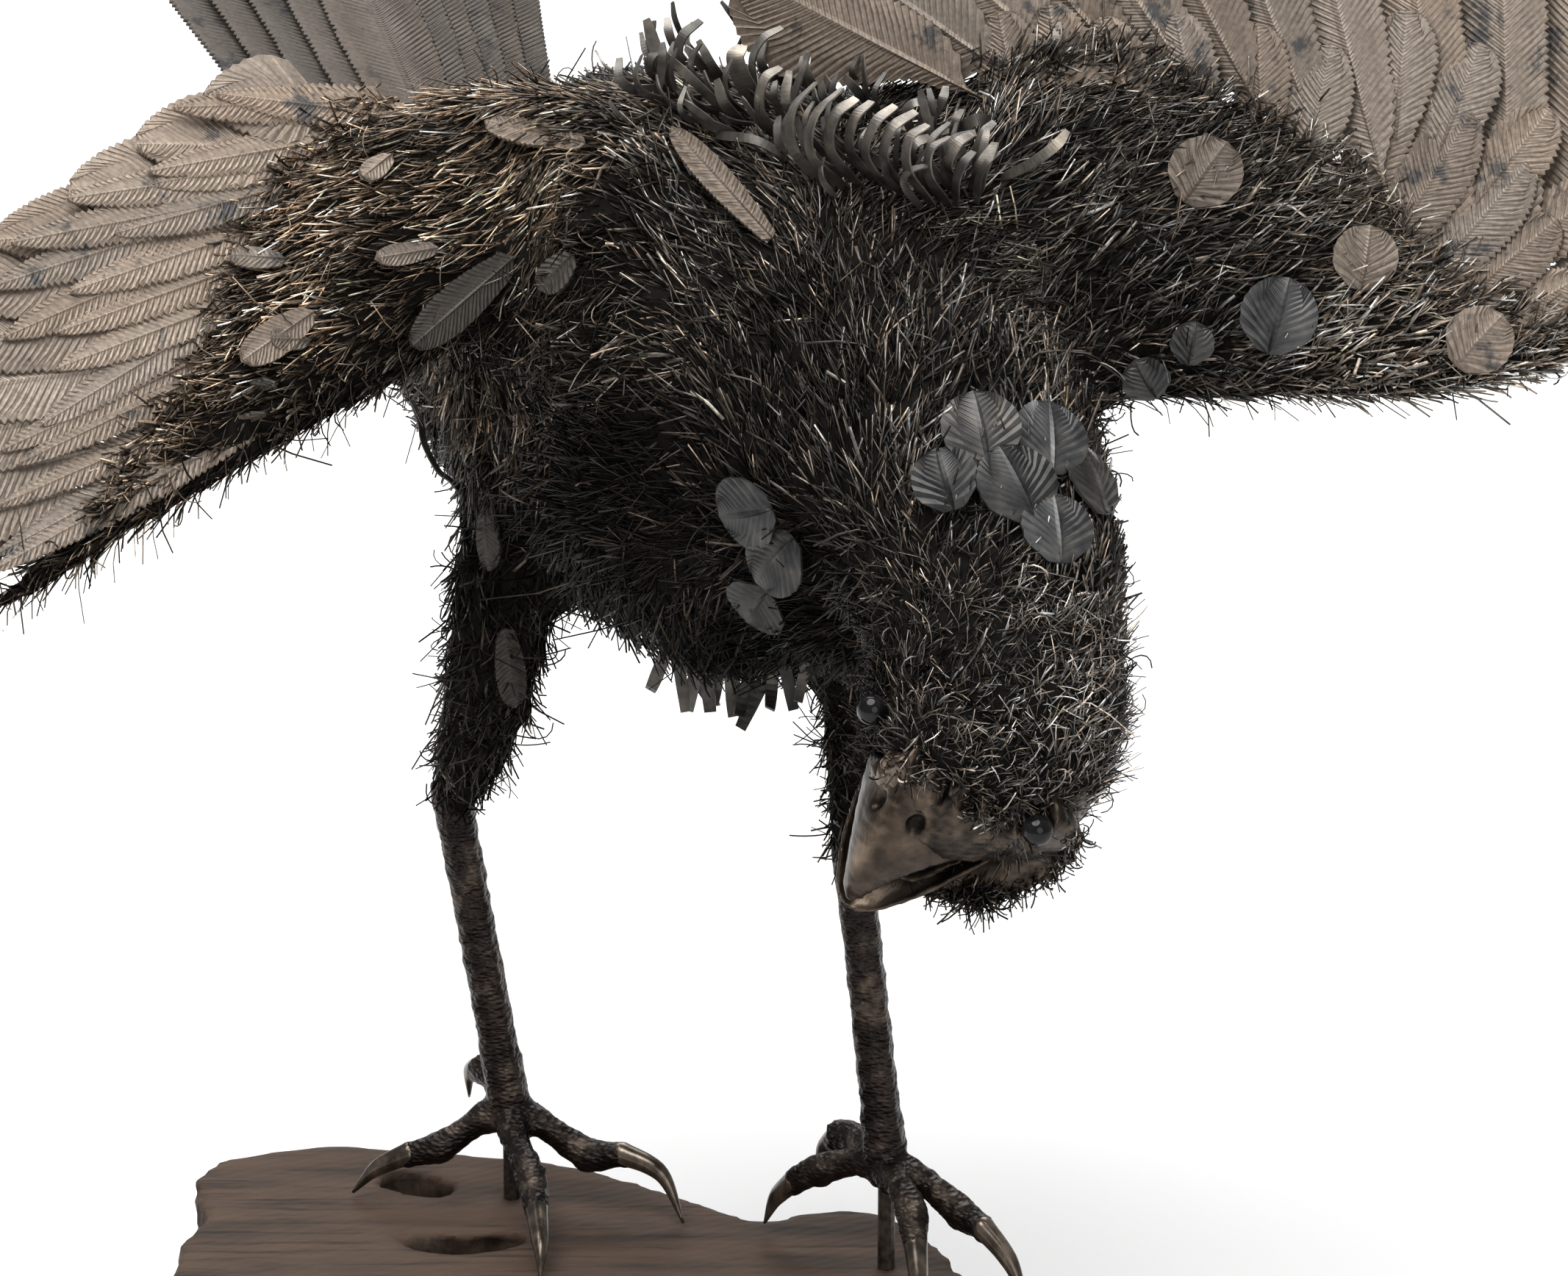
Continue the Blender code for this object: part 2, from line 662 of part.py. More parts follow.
def build_flight_feathers(prefix, wing, tree, sockets, roots, fan):
    """The wing's fan, from the innermost feather out, each a step lower than the one before it."""
    places = [along_route(roots, i / (WING_FEATHERS - 1)) for i in range(WING_FEATHERS)]
    rows = [interpolate(fan, i / (WING_FEATHERS - 1)) for i in range(WING_FEATHERS)]
    heights = [0.0]
    for i in range(1, WING_FEATHERS):
        angle = math.radians(rows[i][0])
        step = (places[i] - places[i - 1]) * UNIT
        apart = abs(step.x * math.sin(angle) - step.y * math.cos(angle))
        short = FLIGHT_STEP - apart * math.tan(FLIGHT_TWIST)
        heights.append(heights[-1] - max(0.0, short))
    middle = (heights[WING_FEATHERS // 2] + heights[-1]) / 2
    for i, (spot, (degrees, length)) in enumerate(zip(places, rows)):
        share = i / (WING_FEATHERS - 1)
        angle = math.radians(degrees)
        along = wing.out * math.cos(angle) + wing.back * math.sin(angle)
        lead = wing.top.cross(along) * wing.side
        twisted_lead = lead * math.cos(FLIGHT_TWIST) + wing.top * math.sin(FLIGHT_TWIST)
        twisted_top = wing.top * math.cos(FLIGHT_TWIST) - lead * math.sin(FLIGHT_TWIST)
        root = wing.point(spot.x, spot.y) + wing.top * (heights[i] - middle)
        width = FLIGHT_WIDTH_INNER + (FLIGHT_WIDTH_OUTER - FLIGHT_WIDTH_INNER) * share
        build_feather(
            f"{prefix}_feather_{i + 1:02d}",
            tree,
            sockets,
            root,
            along,
            twisted_top,
            twisted_lead,
            length * UNIT,
            width,
            LEADING_SHARE,
        )


def build_tail_feathers(tree, sockets):
    """The tail's fan. The two middle feathers lie on top and the others step down under them."""
    across = TAIL_ALONG.cross(Vector((0, 0, 1))).normalized()
    top = across.cross(TAIL_ALONG).normalized()
    root = place(*TAIL_ROOT)
    for i in range(TAIL_FEATHERS):
        share = i / (TAIL_FEATHERS - 1) - 0.5
        order = 2 * (TAIL_FEATHERS // 2 - 1 - i) if share < 0 else 2 * (i - TAIL_FEATHERS // 2) + 1
        turn = share * TAIL_SPREAD
        along = TAIL_ALONG * math.cos(turn) + across * math.sin(turn)
        lead = across * math.cos(turn) - TAIL_ALONG * math.sin(turn)
        rise = (TAIL_FEATHERS / 2 - order) * TAIL_STEP
        build_feather(
            f"tail_feather_{i + 1:02d}",
            tree,
            sockets,
            root + across * (share * TAIL_ROOT_WIDTH * UNIT) + top * rise,
            along,
            top,
            lead,
            TAIL_LENGTH * (1 - 0.12 * abs(share)),
            TAIL_WIDTH,
            0.5,
        )


def add_figure_sockets(sockets):
    """The seats of the eyes and the two legs."""
    for side in (1, -1):
        add_eye_ball(sockets, side, EYE_RADIUS + FIT_GAP)
    for thigh, hub in ((RIGHT_THIGH, RIGHT_HUB), (LEFT_THIGH, LEFT_HUB)):
        top, ankle, foot = leg_route(thigh, hub)
        rise = (top - foot).normalized()
        across = rise.orthogonal().normalized()
        reach = TARSUS_RADIUS + FIT_GAP * 1.5
        mouth = ankle - rise * 8 * UNIT
        add_prism(
            sockets,
            top + rise * FIT_GAP * 1.5,
            mouth,
            across * reach,
            rise.cross(across) * reach,
            BODY_SIDES,
        )


def main():
    for obj in list(bpy.data.objects):
        bpy.data.objects.remove(obj, do_unlink=True)
    figure = build_figure()
    tree = BVHTree.FromObject(figure, bpy.context.evaluated_depsgraph_get())
    sockets = bmesh.new()
    build_flight_feathers("right_wing", RIGHT_WING, tree, sockets, RIGHT_ROOTS, RIGHT_FAN)
    build_flight_feathers("left_wing", LEFT_WING, tree, sockets, LEFT_ROOTS, LEFT_FAN)
    build_tail_feathers(tree, sockets)
    add_figure_sockets(sockets)
    cut(figure, add_cutter("falcon_figure_sockets", sockets))
    cut(figure, build_beak_seat())
    build_beak()
    build_eye("right_eye", -1)
    build_eye("left_eye", 1)
    build_leg("right_leg", RIGHT_THIGH, RIGHT_HUB, RIGHT_TOES)
    build_leg("left_leg", LEFT_THIGH, LEFT_HUB, LEFT_TOES)
    build_peg("right_peg", RIGHT_HUB)
    build_peg("left_peg", LEFT_HUB)
    build_slab()


MATERIALS = {
    "cut": add_material("cut", (0.8, 0.1, 0.1), 0.5, 0.0),
    "dark_wire": add_material("dark_wire", (0.035, 0.030, 0.027), 0.45, 0.9),
    "feather_sheet": add_material("feather_sheet", (0.17, 0.14, 0.115), 0.6, 0.7),
    "cast_leg": add_material("cast_leg", (0.07, 0.055, 0.042), 0.38, 0.85),
    "beak_bronze": add_material("beak_bronze", (0.17, 0.12, 0.08), 0.35, 0.85),
    "eye_black": add_material("eye_black", (0.008, 0.008, 0.009), 0.08, 0.0),
    "peg_steel": add_material("peg_steel", (0.05, 0.042, 0.035), 0.5, 0.8),
    "wood": add_material("wood", (0.16, 0.10, 0.065), 0.7, 0.0),
}
RIGHT_WING = Wing(RIGHT_WING_START, RIGHT_WING_OUT, RIGHT_WING_TOP, 1)
LEFT_WING = Wing(LEFT_WING_START, LEFT_WING_OUT, LEFT_WING_TOP, -1)

main()
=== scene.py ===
"""Looks of the falcon sculpture: its wire coat, sheet feathers, castings, timber slab and studio."""

import json
import math

import bpy
import numpy as np
from bpy.props import FloatProperty, FloatVectorProperty, IntProperty, PointerProperty
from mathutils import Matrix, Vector
from mathutils.bvhtree import BVHTree

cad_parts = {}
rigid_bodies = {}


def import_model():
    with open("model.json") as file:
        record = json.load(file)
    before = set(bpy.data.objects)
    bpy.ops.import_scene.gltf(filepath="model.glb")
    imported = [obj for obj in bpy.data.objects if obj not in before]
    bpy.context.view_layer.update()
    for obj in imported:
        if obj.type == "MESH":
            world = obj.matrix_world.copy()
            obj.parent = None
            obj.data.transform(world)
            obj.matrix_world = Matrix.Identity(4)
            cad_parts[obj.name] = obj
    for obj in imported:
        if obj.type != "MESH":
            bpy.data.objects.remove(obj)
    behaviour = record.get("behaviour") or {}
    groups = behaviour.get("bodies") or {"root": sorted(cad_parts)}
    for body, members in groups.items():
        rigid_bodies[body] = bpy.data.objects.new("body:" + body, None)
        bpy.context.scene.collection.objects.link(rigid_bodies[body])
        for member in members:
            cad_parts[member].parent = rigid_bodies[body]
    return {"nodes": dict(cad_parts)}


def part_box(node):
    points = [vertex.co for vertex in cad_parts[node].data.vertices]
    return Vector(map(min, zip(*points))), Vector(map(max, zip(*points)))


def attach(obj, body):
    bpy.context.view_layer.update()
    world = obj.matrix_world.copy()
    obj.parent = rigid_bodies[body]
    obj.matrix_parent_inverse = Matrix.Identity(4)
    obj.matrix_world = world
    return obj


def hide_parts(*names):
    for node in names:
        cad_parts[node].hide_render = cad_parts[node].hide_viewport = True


for startup in list(bpy.data.objects):
    bpy.data.objects.remove(startup, do_unlink=True)
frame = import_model()

bl_info = {
    "name": "Falcon sculpture looks",
    "version": (1, 0, 0),
    "blender": (4, 5, 0),
    "location": "View3D > Sidebar > Falcon",
    "description": "Dresses the falcon sculpture in wire, sheet feathers, castings and timber",
    "category": "Object",
}

MM = 0.001
SLAB_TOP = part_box("wood_slab")[1].z

# The photograph's frame in pixels, and how many of them a millimetre takes at the target
PHOTO_WIDTH = 2133
PHOTO_HEIGHT = 1736
PIXELS_PER_MM = 5.5
TARGET = Vector((0.0545, 0.020, 0.212))

# Each wing's frame: its start over the slab in millimetres, outward and top; back crosses the arm
RIGHT_WING = ((-29, -10, 243), (-0.706, -0.676, -0.212), (0.480, -0.676, 0.560), 1)
LEFT_WING = ((142, 0, 231), (0.960, -0.250, -0.100), (-0.192, -0.890, 0.415), -1)
RIGHT_FAN = ((0.0, 31), (0.15, 26), (0.45, 18), (0.75, 11), (0.9, 6), (1.0, 3))
LEFT_FAN = ((0.0, 163), (0.2, 142), (0.45, 117), (0.72, 92), (0.9, 62), (1.0, 44))
WING_FEATHERS = 16
TAIL_FEATHERS = 10
FLIGHT_TWIST = math.radians(13)
TAIL_ALONG = Vector((-0.290, 0.860, 0.420)).normalized()
TAIL_SPREAD = math.radians(20)

# Head: its centre over the slab and its directions
HEAD_CENTRE = (101, -87, 181)
HEAD_FORWARD = Vector((-0.590, -0.350, -0.730)).normalized()
HEAD_LEFT = Vector((0.846, -0.335, -0.413))
# The bare face and the jaw: forward, half width, half height, rise of the centre
FACE = (
    (-8, 32.6, 29.4, 0),
    (-2, 33.2, 29.2, 0),
    (8, 32.2, 27.2, -0.5),
    (14, 27.6, 24.3, -1.0),
    (18, 23.0, 21.6, -1.4),
    (21, 19.0, 19.0, -1.6),
    (24, 15.8, 16.4, -1.8),
    (29, 10.2, 11.8, -2.4),
)
JAW = (
    (-4, 28.6, 16.8, -9),
    (2, 30.4, 17.2, -9),
    (10, 32.2, 16.2, -10),
    (17, 30.2, 12.2, -13),
    (23, 26.7, 8.8, -15.5),
    (29, 21.2, 7.3, -16.5),
    (34, 15.2, 5.3, -16.5),
    (37.5, 8.2, 3.4, -16),
)
# The room of the open mouth, in the same terms as the beak
MOUTH = (
    (20.4, 18.8, -3.9, -8.5),
    (24, 17.4, -2.6, -12.0),
    (31, 13.4, -1.6, -14.0),
    (38, 9.2, -2.4, -13.6),
    (45, 5.2, -5.0, -13.6),
    (52, 2.0, -8.0, -13.6),
)
BEAK_ROLL = math.radians(9)
BEAK_SHIFT = -1.2
BEAK_LEAN = -0.15
EYE_PLACE = (11, 24, 14.2)
NOSTRIL_PLACE = (26.8, 5.6, 12.0)
# forward, half width, top, bottom
UPPER_BEAK = (
    (17.6, 20.2, 18.6, -4.6),
    (20, 18.6, 17.0, -4.2),
    (24, 16.0, 14.7, -3.0),
    (31, 11.6, 10.8, -2.2),
    (38, 7.4, 6.0, -3.2),
    (43, 4.5, 1.2, -5.0),
    (46.5, 2.5, -3.0, -7.6),
    (48.0, 1.0, -6.8, -9.4),
)
LOWER_BEAK = (
    (17.6, 19.6, -6.6, -17.4),
    (24, 18.2, -7.2, -16.8),
    (31, 15.3, -7.8, -16.0),
    (38, 11.9, -9.0, -15.4),
    (43, 8.7, -10.2, -15.0),
    (47.0, 5.6, -11.2, -14.8),
    (49.4, 2.2, -11.9, -14.2),
)

# Feet: hub, then each toe's points; the last two belong to the claw
RIGHT_HUB = (-16.3, 55, 24)
LEFT_HUB = (80.5, 12, 28)
RIGHT_ANKLE = (-29.3, 62, 101)
LEFT_ANKLE = (72.6, 19.5, 101)
RIGHT_TOES = (
    (
        (-22, 55, 22.5), (-27, 55, 19.3), (-34.5, 54, 14.4),
        (-43.2, 54, 12), (-51.5, 54, 7.8), (-57.7, 53.7, 1.2),
    ),
    ((-15.5, 49, 21), (-14, 43, 18.8), (-10.5, 33, 15.3), (-8.6, 21, 11), (-7.3, 9, 7), (-7.2, 2, 1.2)),
    ((-11, 53, 22.5), (-5.7, 51, 20.2), (3.9, 46, 15.6), (13.4, 43, 16.8), (23, 39, 13), (28.6, 34.7, 1.2)),
    ((-18, 61, 25), (-21, 68, 27), (-25, 75, 28), (-28, 81, 23.5), (-28.5, 84, 15)),
)
LEFT_TOES = (
    ((76, 15, 28), (71, 18, 26), (63.5, 22, 22), (57, 26, 17), (52.5, 29, 11), (49.5, 31, 3)),
    ((82, 6, 27.5), (83.8, 0, 27.5), (86.5, -8, 23.9), (87.4, -15.5, 18), (88.1, -23, 10), (87.6, -27, 1.2)),
    (
        (86, 8, 27.5), (91.3, 4, 26), (99, -2.5, 21.3),
        (104.9, -9, 19.6), (111.4, -16, 13.2), (115.8, -22, 1.2),
    ),
    ((77, 18, 30), (72.9, 24, 30.5), (68, 30, 28.5), (64.5, 35, 22), (63, 38, 14)),
)
TOE_RADII = (4.4, 3.4, 4.2, 3.2)

# Where the wire lies: place over the slab, the way it points, lift in degrees, length, scatter, colour
DARK = (0.034, 0.030, 0.026)
WARM = (0.195, 0.152, 0.114)
STEEL = (0.116, 0.105, 0.094)
DEEP = (0.016, 0.013, 0.011)
BLACK = (0.009, 0.008, 0.007)
GLINT = (0.210, 0.192, 0.176)
DUSTY = (0.300, 0.262, 0.225)
BODY_COAT = (
    ((40, 95, 300), (-0.32, 0.90, 0.10), 10, 9.5, 16, DARK),
    ((5, 130, 270), (-0.32, 0.90, 0.15), 10, 9.5, 16, DARK),
    ((-30, 130, 225), (-0.60, 0.60, 0.20), 10, 9.5, 18, DEEP),
    ((-27, 172, 228), (-0.29, 0.86, 0.42), 7, 19, 9, DARK),
    ((30, 10, 270), (-0.55, 0.40, 0.55), 11, 9.5, 18, STEEL),
    ((60, -40, 250), (-0.45, 0.20, 0.80), 11, 9.5, 20, DARK),
    ((20, -10, 220), (-0.70, 0.30, 0.10), 12, 9.5, 24, DEEP),
    ((70, -50, 200), (-0.60, 0.10, -0.30), 12, 9.5, 24, DEEP),
    ((-10, 60, 190), (-0.60, 0.40, -0.50), 11, 9.5, 24, BLACK),
    ((50, -20, 170), (-0.50, 0.20, -0.70), 11, 9.5, 24, BLACK),
    ((14, 10, 177), (-0.20, 0.00, -1.00), 14, 14, 22, BLACK),
    ((34, 0, 170), (-0.20, 0.00, -1.00), 14, 13, 22, BLACK),
    ((90, 30, 180), (0.30, 0.50, -0.70), 12, 9.5, 24, DEEP),
    ((110, 60, 240), (0.20, 0.90, 0.10), 11, 9.5, 20, DARK),
    ((95, -60, 255), (0.05, 0.45, 0.85), 13, 9, 24, STEEL),
    ((125, -50, 215), (0.25, 0.45, 0.85), 15, 8, 32, STEEL),
    ((140, -20, 250), (0.30, 0.40, 0.85), 13, 9, 24, STEEL),
)
HEAD_COAT = (
    ((110, -115, 200), (0.55, 0.30, 0.75), 15, 5.2, 46, GLINT),
    ((90, -110, 190), (0.55, 0.30, 0.75), 15, 5.2, 46, STEEL),
    ((130, -90, 180), (0.60, 0.40, 0.70), 15, 5.2, 46, GLINT),
    ((72, -85, 190), (0.30, 0.50, 0.80), 16, 5.2, 46, DEEP),
    ((115, -70, 160), (0.60, 0.40, -0.30), 20, 5.6, 46, DARK),
    ((96, -112, 150), (0.60, 0.10, -0.80), 22, 6.5, 60, DEEP),
)
LEG_COAT = (
    ((-18, 40, 165), (-0.20, 0.10, -1.00), 11, 8, 28, DEEP),
    ((-24, 52, 125), (-0.05, 0.05, -1.00), 11, 7, 34, DARK),
    ((-29, 60, 104), (0.00, 0.00, -1.00), 12, 6, 36, DEEP),
    ((76, 20, 165), (0.00, 0.10, -1.00), 12, 6.5, 40, DEEP),
    ((74, 18, 125), (0.00, 0.05, -1.00), 13, 6.5, 40, DARK),
    ((72, 18, 104), (0.00, 0.00, -1.00), 13, 5.5, 40, DEEP),
)
# Shares of straight, bent, curly and flat wires in each part, their width, the stray ones and the kept ones
PART_WIRES = {
    "body": (0.72, 0.20, 0.03, 0.05, 0.90, 0.04, 0.50),
    "head": (0.10, 0.30, 0.56, 0.04, 0.52, 0.08, 1.00),
    "legs": (0.20, 0.34, 0.40, 0.06, 0.80, 0.08, 0.48),
    "edges": (0.16, 0.40, 0.40, 0.04, 0.75, 0.08, 0.60),
    "right_wing": (0.83, 0.13, 0.01, 0.03, 0.80, 0.02, 0.70),
    "left_wing": (0.70, 0.22, 0.03, 0.05, 0.85, 0.04, 0.66),
}
CURLY_PARTS = ("head", "legs", "edges")
WIRE_SHAPES = (("straight", 2, 3), ("bent", 3, 3), ("curly", 4, 3), ("flat", 3, 4))

# Coverts as photo pixels of root and tip, then half width in millimetres, the top ones last
RIGHT_COVERTS = (
    ((345, 570), (-20, 765), 6.0),
    ((310, 600), (-30, 790), 4.6),
    ((300, 560), (-20, 700), 4.6),
    ((260, 500), (-15, 625), 4.8),
    ((310, 500), (5, 645), 4.6),
    ((270, 450), (37, 592), 5.0),
    ((310, 420), (60, 514), 5.2),
    ((200, 380), (-10, 470), 5.6),
    ((320, 372), (63, 464), 5.4),
    ((230, 320), (-25, 400), 5.8),
    ((340, 322), (78, 409), 5.6),
    ((290, 290), (0, 341), 5.8),
    ((370, 268), (139, 331), 5.4),
    ((320, 250), (76, 281), 5.4),
    ((410, 225), (191, 263), 5.4),
    ((480, 196), (183, 247), 5.6),
    ((520, 150), (220, 158), 6.0),
    ((560, 175), (277, 140), 5.8),
)
LEFT_COVERTS = (
    ((1900, 190), (1915, 15), 9.0),
    ((1960, 210), (2015, 60), 9.0),
    ((2010, 280), (2110, 150), 9.0),
    ((2060, 350), (2180, 260), 9.0),
    ((2075, 420), (2200, 370), 8.0),
    ((1400, 200), (1362, 20), 9.0),
    ((1480, 210), (1430, 10), 9.0),
    ((1560, 190), (1500, 30), 8.0),
    ((1640, 190), (1600, 20), 8.0),
    ((1720, 210), (1712, 35), 8.0),
    ((1775, 250), (1812, 62), 8.4),
    ((1840, 290), (1900, 110), 8.8),
    ((1880, 360), (2003, 155), 9.4),
    ((1930, 400), (2080, 225), 9.4),
    ((1960, 440), (2120, 300), 8.6),
    ((2010, 465), (2150, 380), 7.6),
)
# Leaf-shaped feathers and plates over the wire: root pixel, tip pixel, half width, tone
LEAVES = (
    ((372, 530), (40, 712), 4.4, 0.50),
    ((362, 572), (24, 748), 4.8, 0.34),
    ((430, 420), (328, 492), 4.6, 1.0),
    ((388, 348), (310, 350), 3.0, 0.9),
    ((425, 460), (365, 462), 2.8, 0.8),
    ((535, 205), (492, 244), 2.9, 1.2),
    ((800, 190), (657, 168), 4.2, 0.8),
    ((600, 335), (510, 352), 2.8, 1.0),
    ((1050, 318), (913, 176), 4.0, 0.65),
    ((655, 690), (668, 775), 3.6, 0.22),
    ((775, 345), (735, 395), 4.2, 0.25),
    ((700, 350), (560, 470), 5.5, 0.28),
    ((690, 860), (700, 960), 4.0, 0.2),
)
# Chased discs: centre pixel, radius in millimetres, the way the midrib points, tone
DISCS = (
    ((1640, 232), 9.2, 60, 0.55), ((1740, 430), 9.5, 75, 0.35), ((1858, 350), 8.0, 80, 0.85),
    ((2012, 462), 8.4, 50, 0.9), ((1622, 470), 5.5, 80, 0.3), ((1560, 520), 6.0, 120, 0.3),
    ((1335, 580), 9.6, 95, 0.32), ((1432, 592), 9.6, 70, 0.42), ((1385, 655), 10.0, 100, 0.34),
    ((1490, 648), 9.4, 60, 0.42), ((1285, 650), 8.0, 110, 0.28), ((1440, 715), 9.0, 80, 0.38),
    ((1010, 700), 9.5, 200, 0.3), ((1050, 765), 9.0, 220, 0.3), ((1025, 830), 8.5, 230, 0.26),
)
# Where the coat ends over the coverts of each wing
RIGHT_SEAM = (
    (590, 100), (530, 140), (470, 185), (420, 230), (375, 280), (350, 340), (325, 410), (300, 480),
    (268, 540), (225, 590), (150, 700),
)
LEFT_SEAM = (
    (1330, 120), (1400, 95), (1480, 75), (1560, 110), (1640, 150), (1720, 180), (1790, 215), (1850, 285),
    (1915, 350), (1985, 400), (2060, 440), (2125, 480),
)
# Large ribbons of the ruff, then loose ones: pixels along each, width and rise in millimetres, facing, tone
RIBBONS = (
    (((915, 122), (893, 70), (879, 26)), 3.4, 3, 70, 1.1),
    (((996, 162), (952, 118), (903, 72)), 2.4, 5, 60, 1.0),
    (((992, 120), (968, 88), (950, 55)), 2.2, 4, 75, 0.9),
    (((1038, 150), (1015, 118), (1000, 80), (1010, 62)), 5.0, 6, 60, 1.3),
    (((1086, 34), (1052, 30), (1018, 44), (1004, 62)), 1.7, 5, 45, 0.7),
    (((1012, 44), (998, 24), (981, 2)), 1.5, 3, 60, 0.6),
    (((1122, 142), (1102, 108), (1090, 72)), 2.2, 4, 65, 0.9),
    (((1155, 92), (1162, 66), (1168, 36)), 2.4, 4, 70, 0.9),
    (((1128, 255), (1080, 205), (1078, 150), (1110, 112)), 3.2, 9, 38, 1.0),
    (((1152, 258), (1104, 212), (1108, 158), (1146, 120)), 3.2, 10, 34, 1.1),
    (((1172, 256), (1130, 205), (1135, 158), (1165, 134)), 3.4, 10, 38, 1.2),
    (((1192, 250), (1157, 205), (1162, 162), (1186, 138)), 3.4, 10, 34, 1.0),
    (((1212, 262), (1178, 212), (1190, 168), (1218, 144)), 3.2, 10, 30, 1.2),
    (((1238, 264), (1204, 220), (1212, 176), (1246, 152)), 3.2, 10, 36, 1.1),
    (((1268, 278), (1236, 234), (1236, 190), (1262, 170)), 3.2, 9, 34, 1.2),
    (((1290, 280), (1264, 240), (1266, 204), (1292, 186)), 3.0, 8, 36, 1.1),
    (((1312, 266), (1290, 228), (1302, 196), (1322, 182)), 3.0, 8, 40, 1.2),
    (((1168, 142), (1218, 168), (1262, 182), (1306, 176)), 2.6, 11, 40, 0.7),
    (((1326, 264), (1336, 228), (1354, 194)), 4.0, 8, 60, 1.4),
    (((1362, 242), (1400, 224), (1436, 198), (1452, 178)), 2.6, 9, 70, 1.2),
    (((1240, 72), (1206, 52), (1212, 80), (1228, 92)), 2.0, 7, 50, 0.7),
    (((975, 184), (1030, 192), (1082, 222)), 2.6, 6, 55, 0.5),
    (((1060, 190), (1034, 150), (1040, 108), (1062, 92)), 3.0, 7, 45, 1.1),
    (((1010, 170), (985, 140), (975, 108)), 2.8, 6, 60, 0.9),
    (((1100, 180), (1070, 140), (1074, 96)), 2.6, 7, 55, 1.0),
    (((1390, 80), (1398, 50), (1392, 16)), 2.8, 5, 70, 1.5),
    (((1420, 90), (1436, 60), (1440, 30)), 2.4, 5, 70, 0.8),
    (((1330, 110), (1352, 80), (1356, 52)), 2.4, 5, 60, 0.8),
    (((1745, 128), (1738, 100), (1730, 70)), 4.4, 5, 80, 1.2),
    (((1580, 80), (1572, 52), (1560, 22)), 3.6, 5, 80, 0.5),
    (((1640, 70), (1630, 45), (1622, 22)), 3.0, 5, 80, 0.5),
    (((1836, 142), (1818, 128), (1800, 122), (1812, 140)), 4.0, 5, 70, 0.6),
    (((2026, 330), (2006, 322), (1985, 326), (2010, 350)), 2.6, 5, 70, 1.2),
    (((560, 545), (572, 575), (577, 603), (596, 640), (614, 655), (640, 690)), 1.6, 6, 55, 0.6),
    (((180, 470), (120, 478), (60, 505)), 1.8, 5, 60, 0.5),
    (((130, 420), (100, 440), (50, 436)), 1.6, 5, 60, 0.5),
    (((150, 500), (90, 540), (40, 560)), 1.8, 5, 60, 0.5),
)
# Lines of frizz: pixels along each, spread in pixels, count, shortest, longest, the way the wires are drawn
CHIN = ((1250, 1214), (1300, 1212), (1345, 1216), (1390, 1212), (1425, 1196), (1455, 1166), (1478, 1124))
FRIZZ = (
    (CHIN, 6, 480, 2.5, 6.5, (0, -0.1, -0.7)),
    (((1314, 1207), (1346, 1207)), 6, 110, 7, 12, (0, -0.4, -2.0)),
    (((1300, 1092), (1345, 1108), (1385, 1098), (1425, 1098)), 7, 170, 3, 6, (0, -0.1, -0.3)),
    (((1204, 1046), (1262, 1062)), 6, 60, 3, 6, (0, -0.1, -0.3)),
    (((1198, 942), (1203, 962), (1200, 984)), 4, 110, 3, 5, (-1.3, -0.4, -0.2)),
    (((2, 858), (120, 800), (260, 705), (380, 625), (520, 545)), 8, 230, 3, 6, (-0.3, 0, -0.6)),
    (((1560, 590), (1700, 560), (1900, 505), (2120, 500)), 9, 330, 3, 6, (0.5, 0, -0.8)),
)
# Strips under the belly: root pixel, lean, length and width in millimetres
FRINGE = (
    ((898, 905), -0.35, 15, 3.4), ((915, 915), 0.15, 13, 3.0), ((932, 925), 0.45, 17, 3.6),
    ((952, 935), 0.10, 10, 3.6), ((968, 940), -0.15, 9, 3.2), ((990, 948), 0.05, 11, 3.8),
    ((1012, 948), -0.25, 8, 3.0), ((1032, 944), -0.45, 11, 3.6), ((1050, 935), -0.10, 7, 3.0),
    ((1072, 928), 0.20, 7, 3.0), ((1092, 922), -0.20, 6, 2.6), ((945, 915), -0.20, 12, 3.4),
)
RUFF_LOWER = ((880, 150), (979, 180), (1068, 228), (1157, 280), (1246, 296), (1335, 290))
RUFF_UPPER = ((880, 105), (990, 66), (1112, 58), (1240, 125), (1340, 225), (1405, 262))


def length_setting(label, description, value):
    """A length that a user may change, in metres."""
    return FloatProperty(name=label, description=description, default=value, unit="LENGTH")


def power_setting(label, description, value):
    """The power of a light that a user may change."""
    return FloatProperty(name=label, description=description, default=value, unit="POWER")


def count_setting(label, description, value):
    """A number of like pieces that a user may change."""
    return IntProperty(name=label, description=description, default=value, min=1)


def colour_setting(label, description, value):
    """A colour that a user may change."""
    return FloatVectorProperty(
        name=label, description=description, default=value, subtype="COLOR", size=3, min=0.0, max=1.0
    )


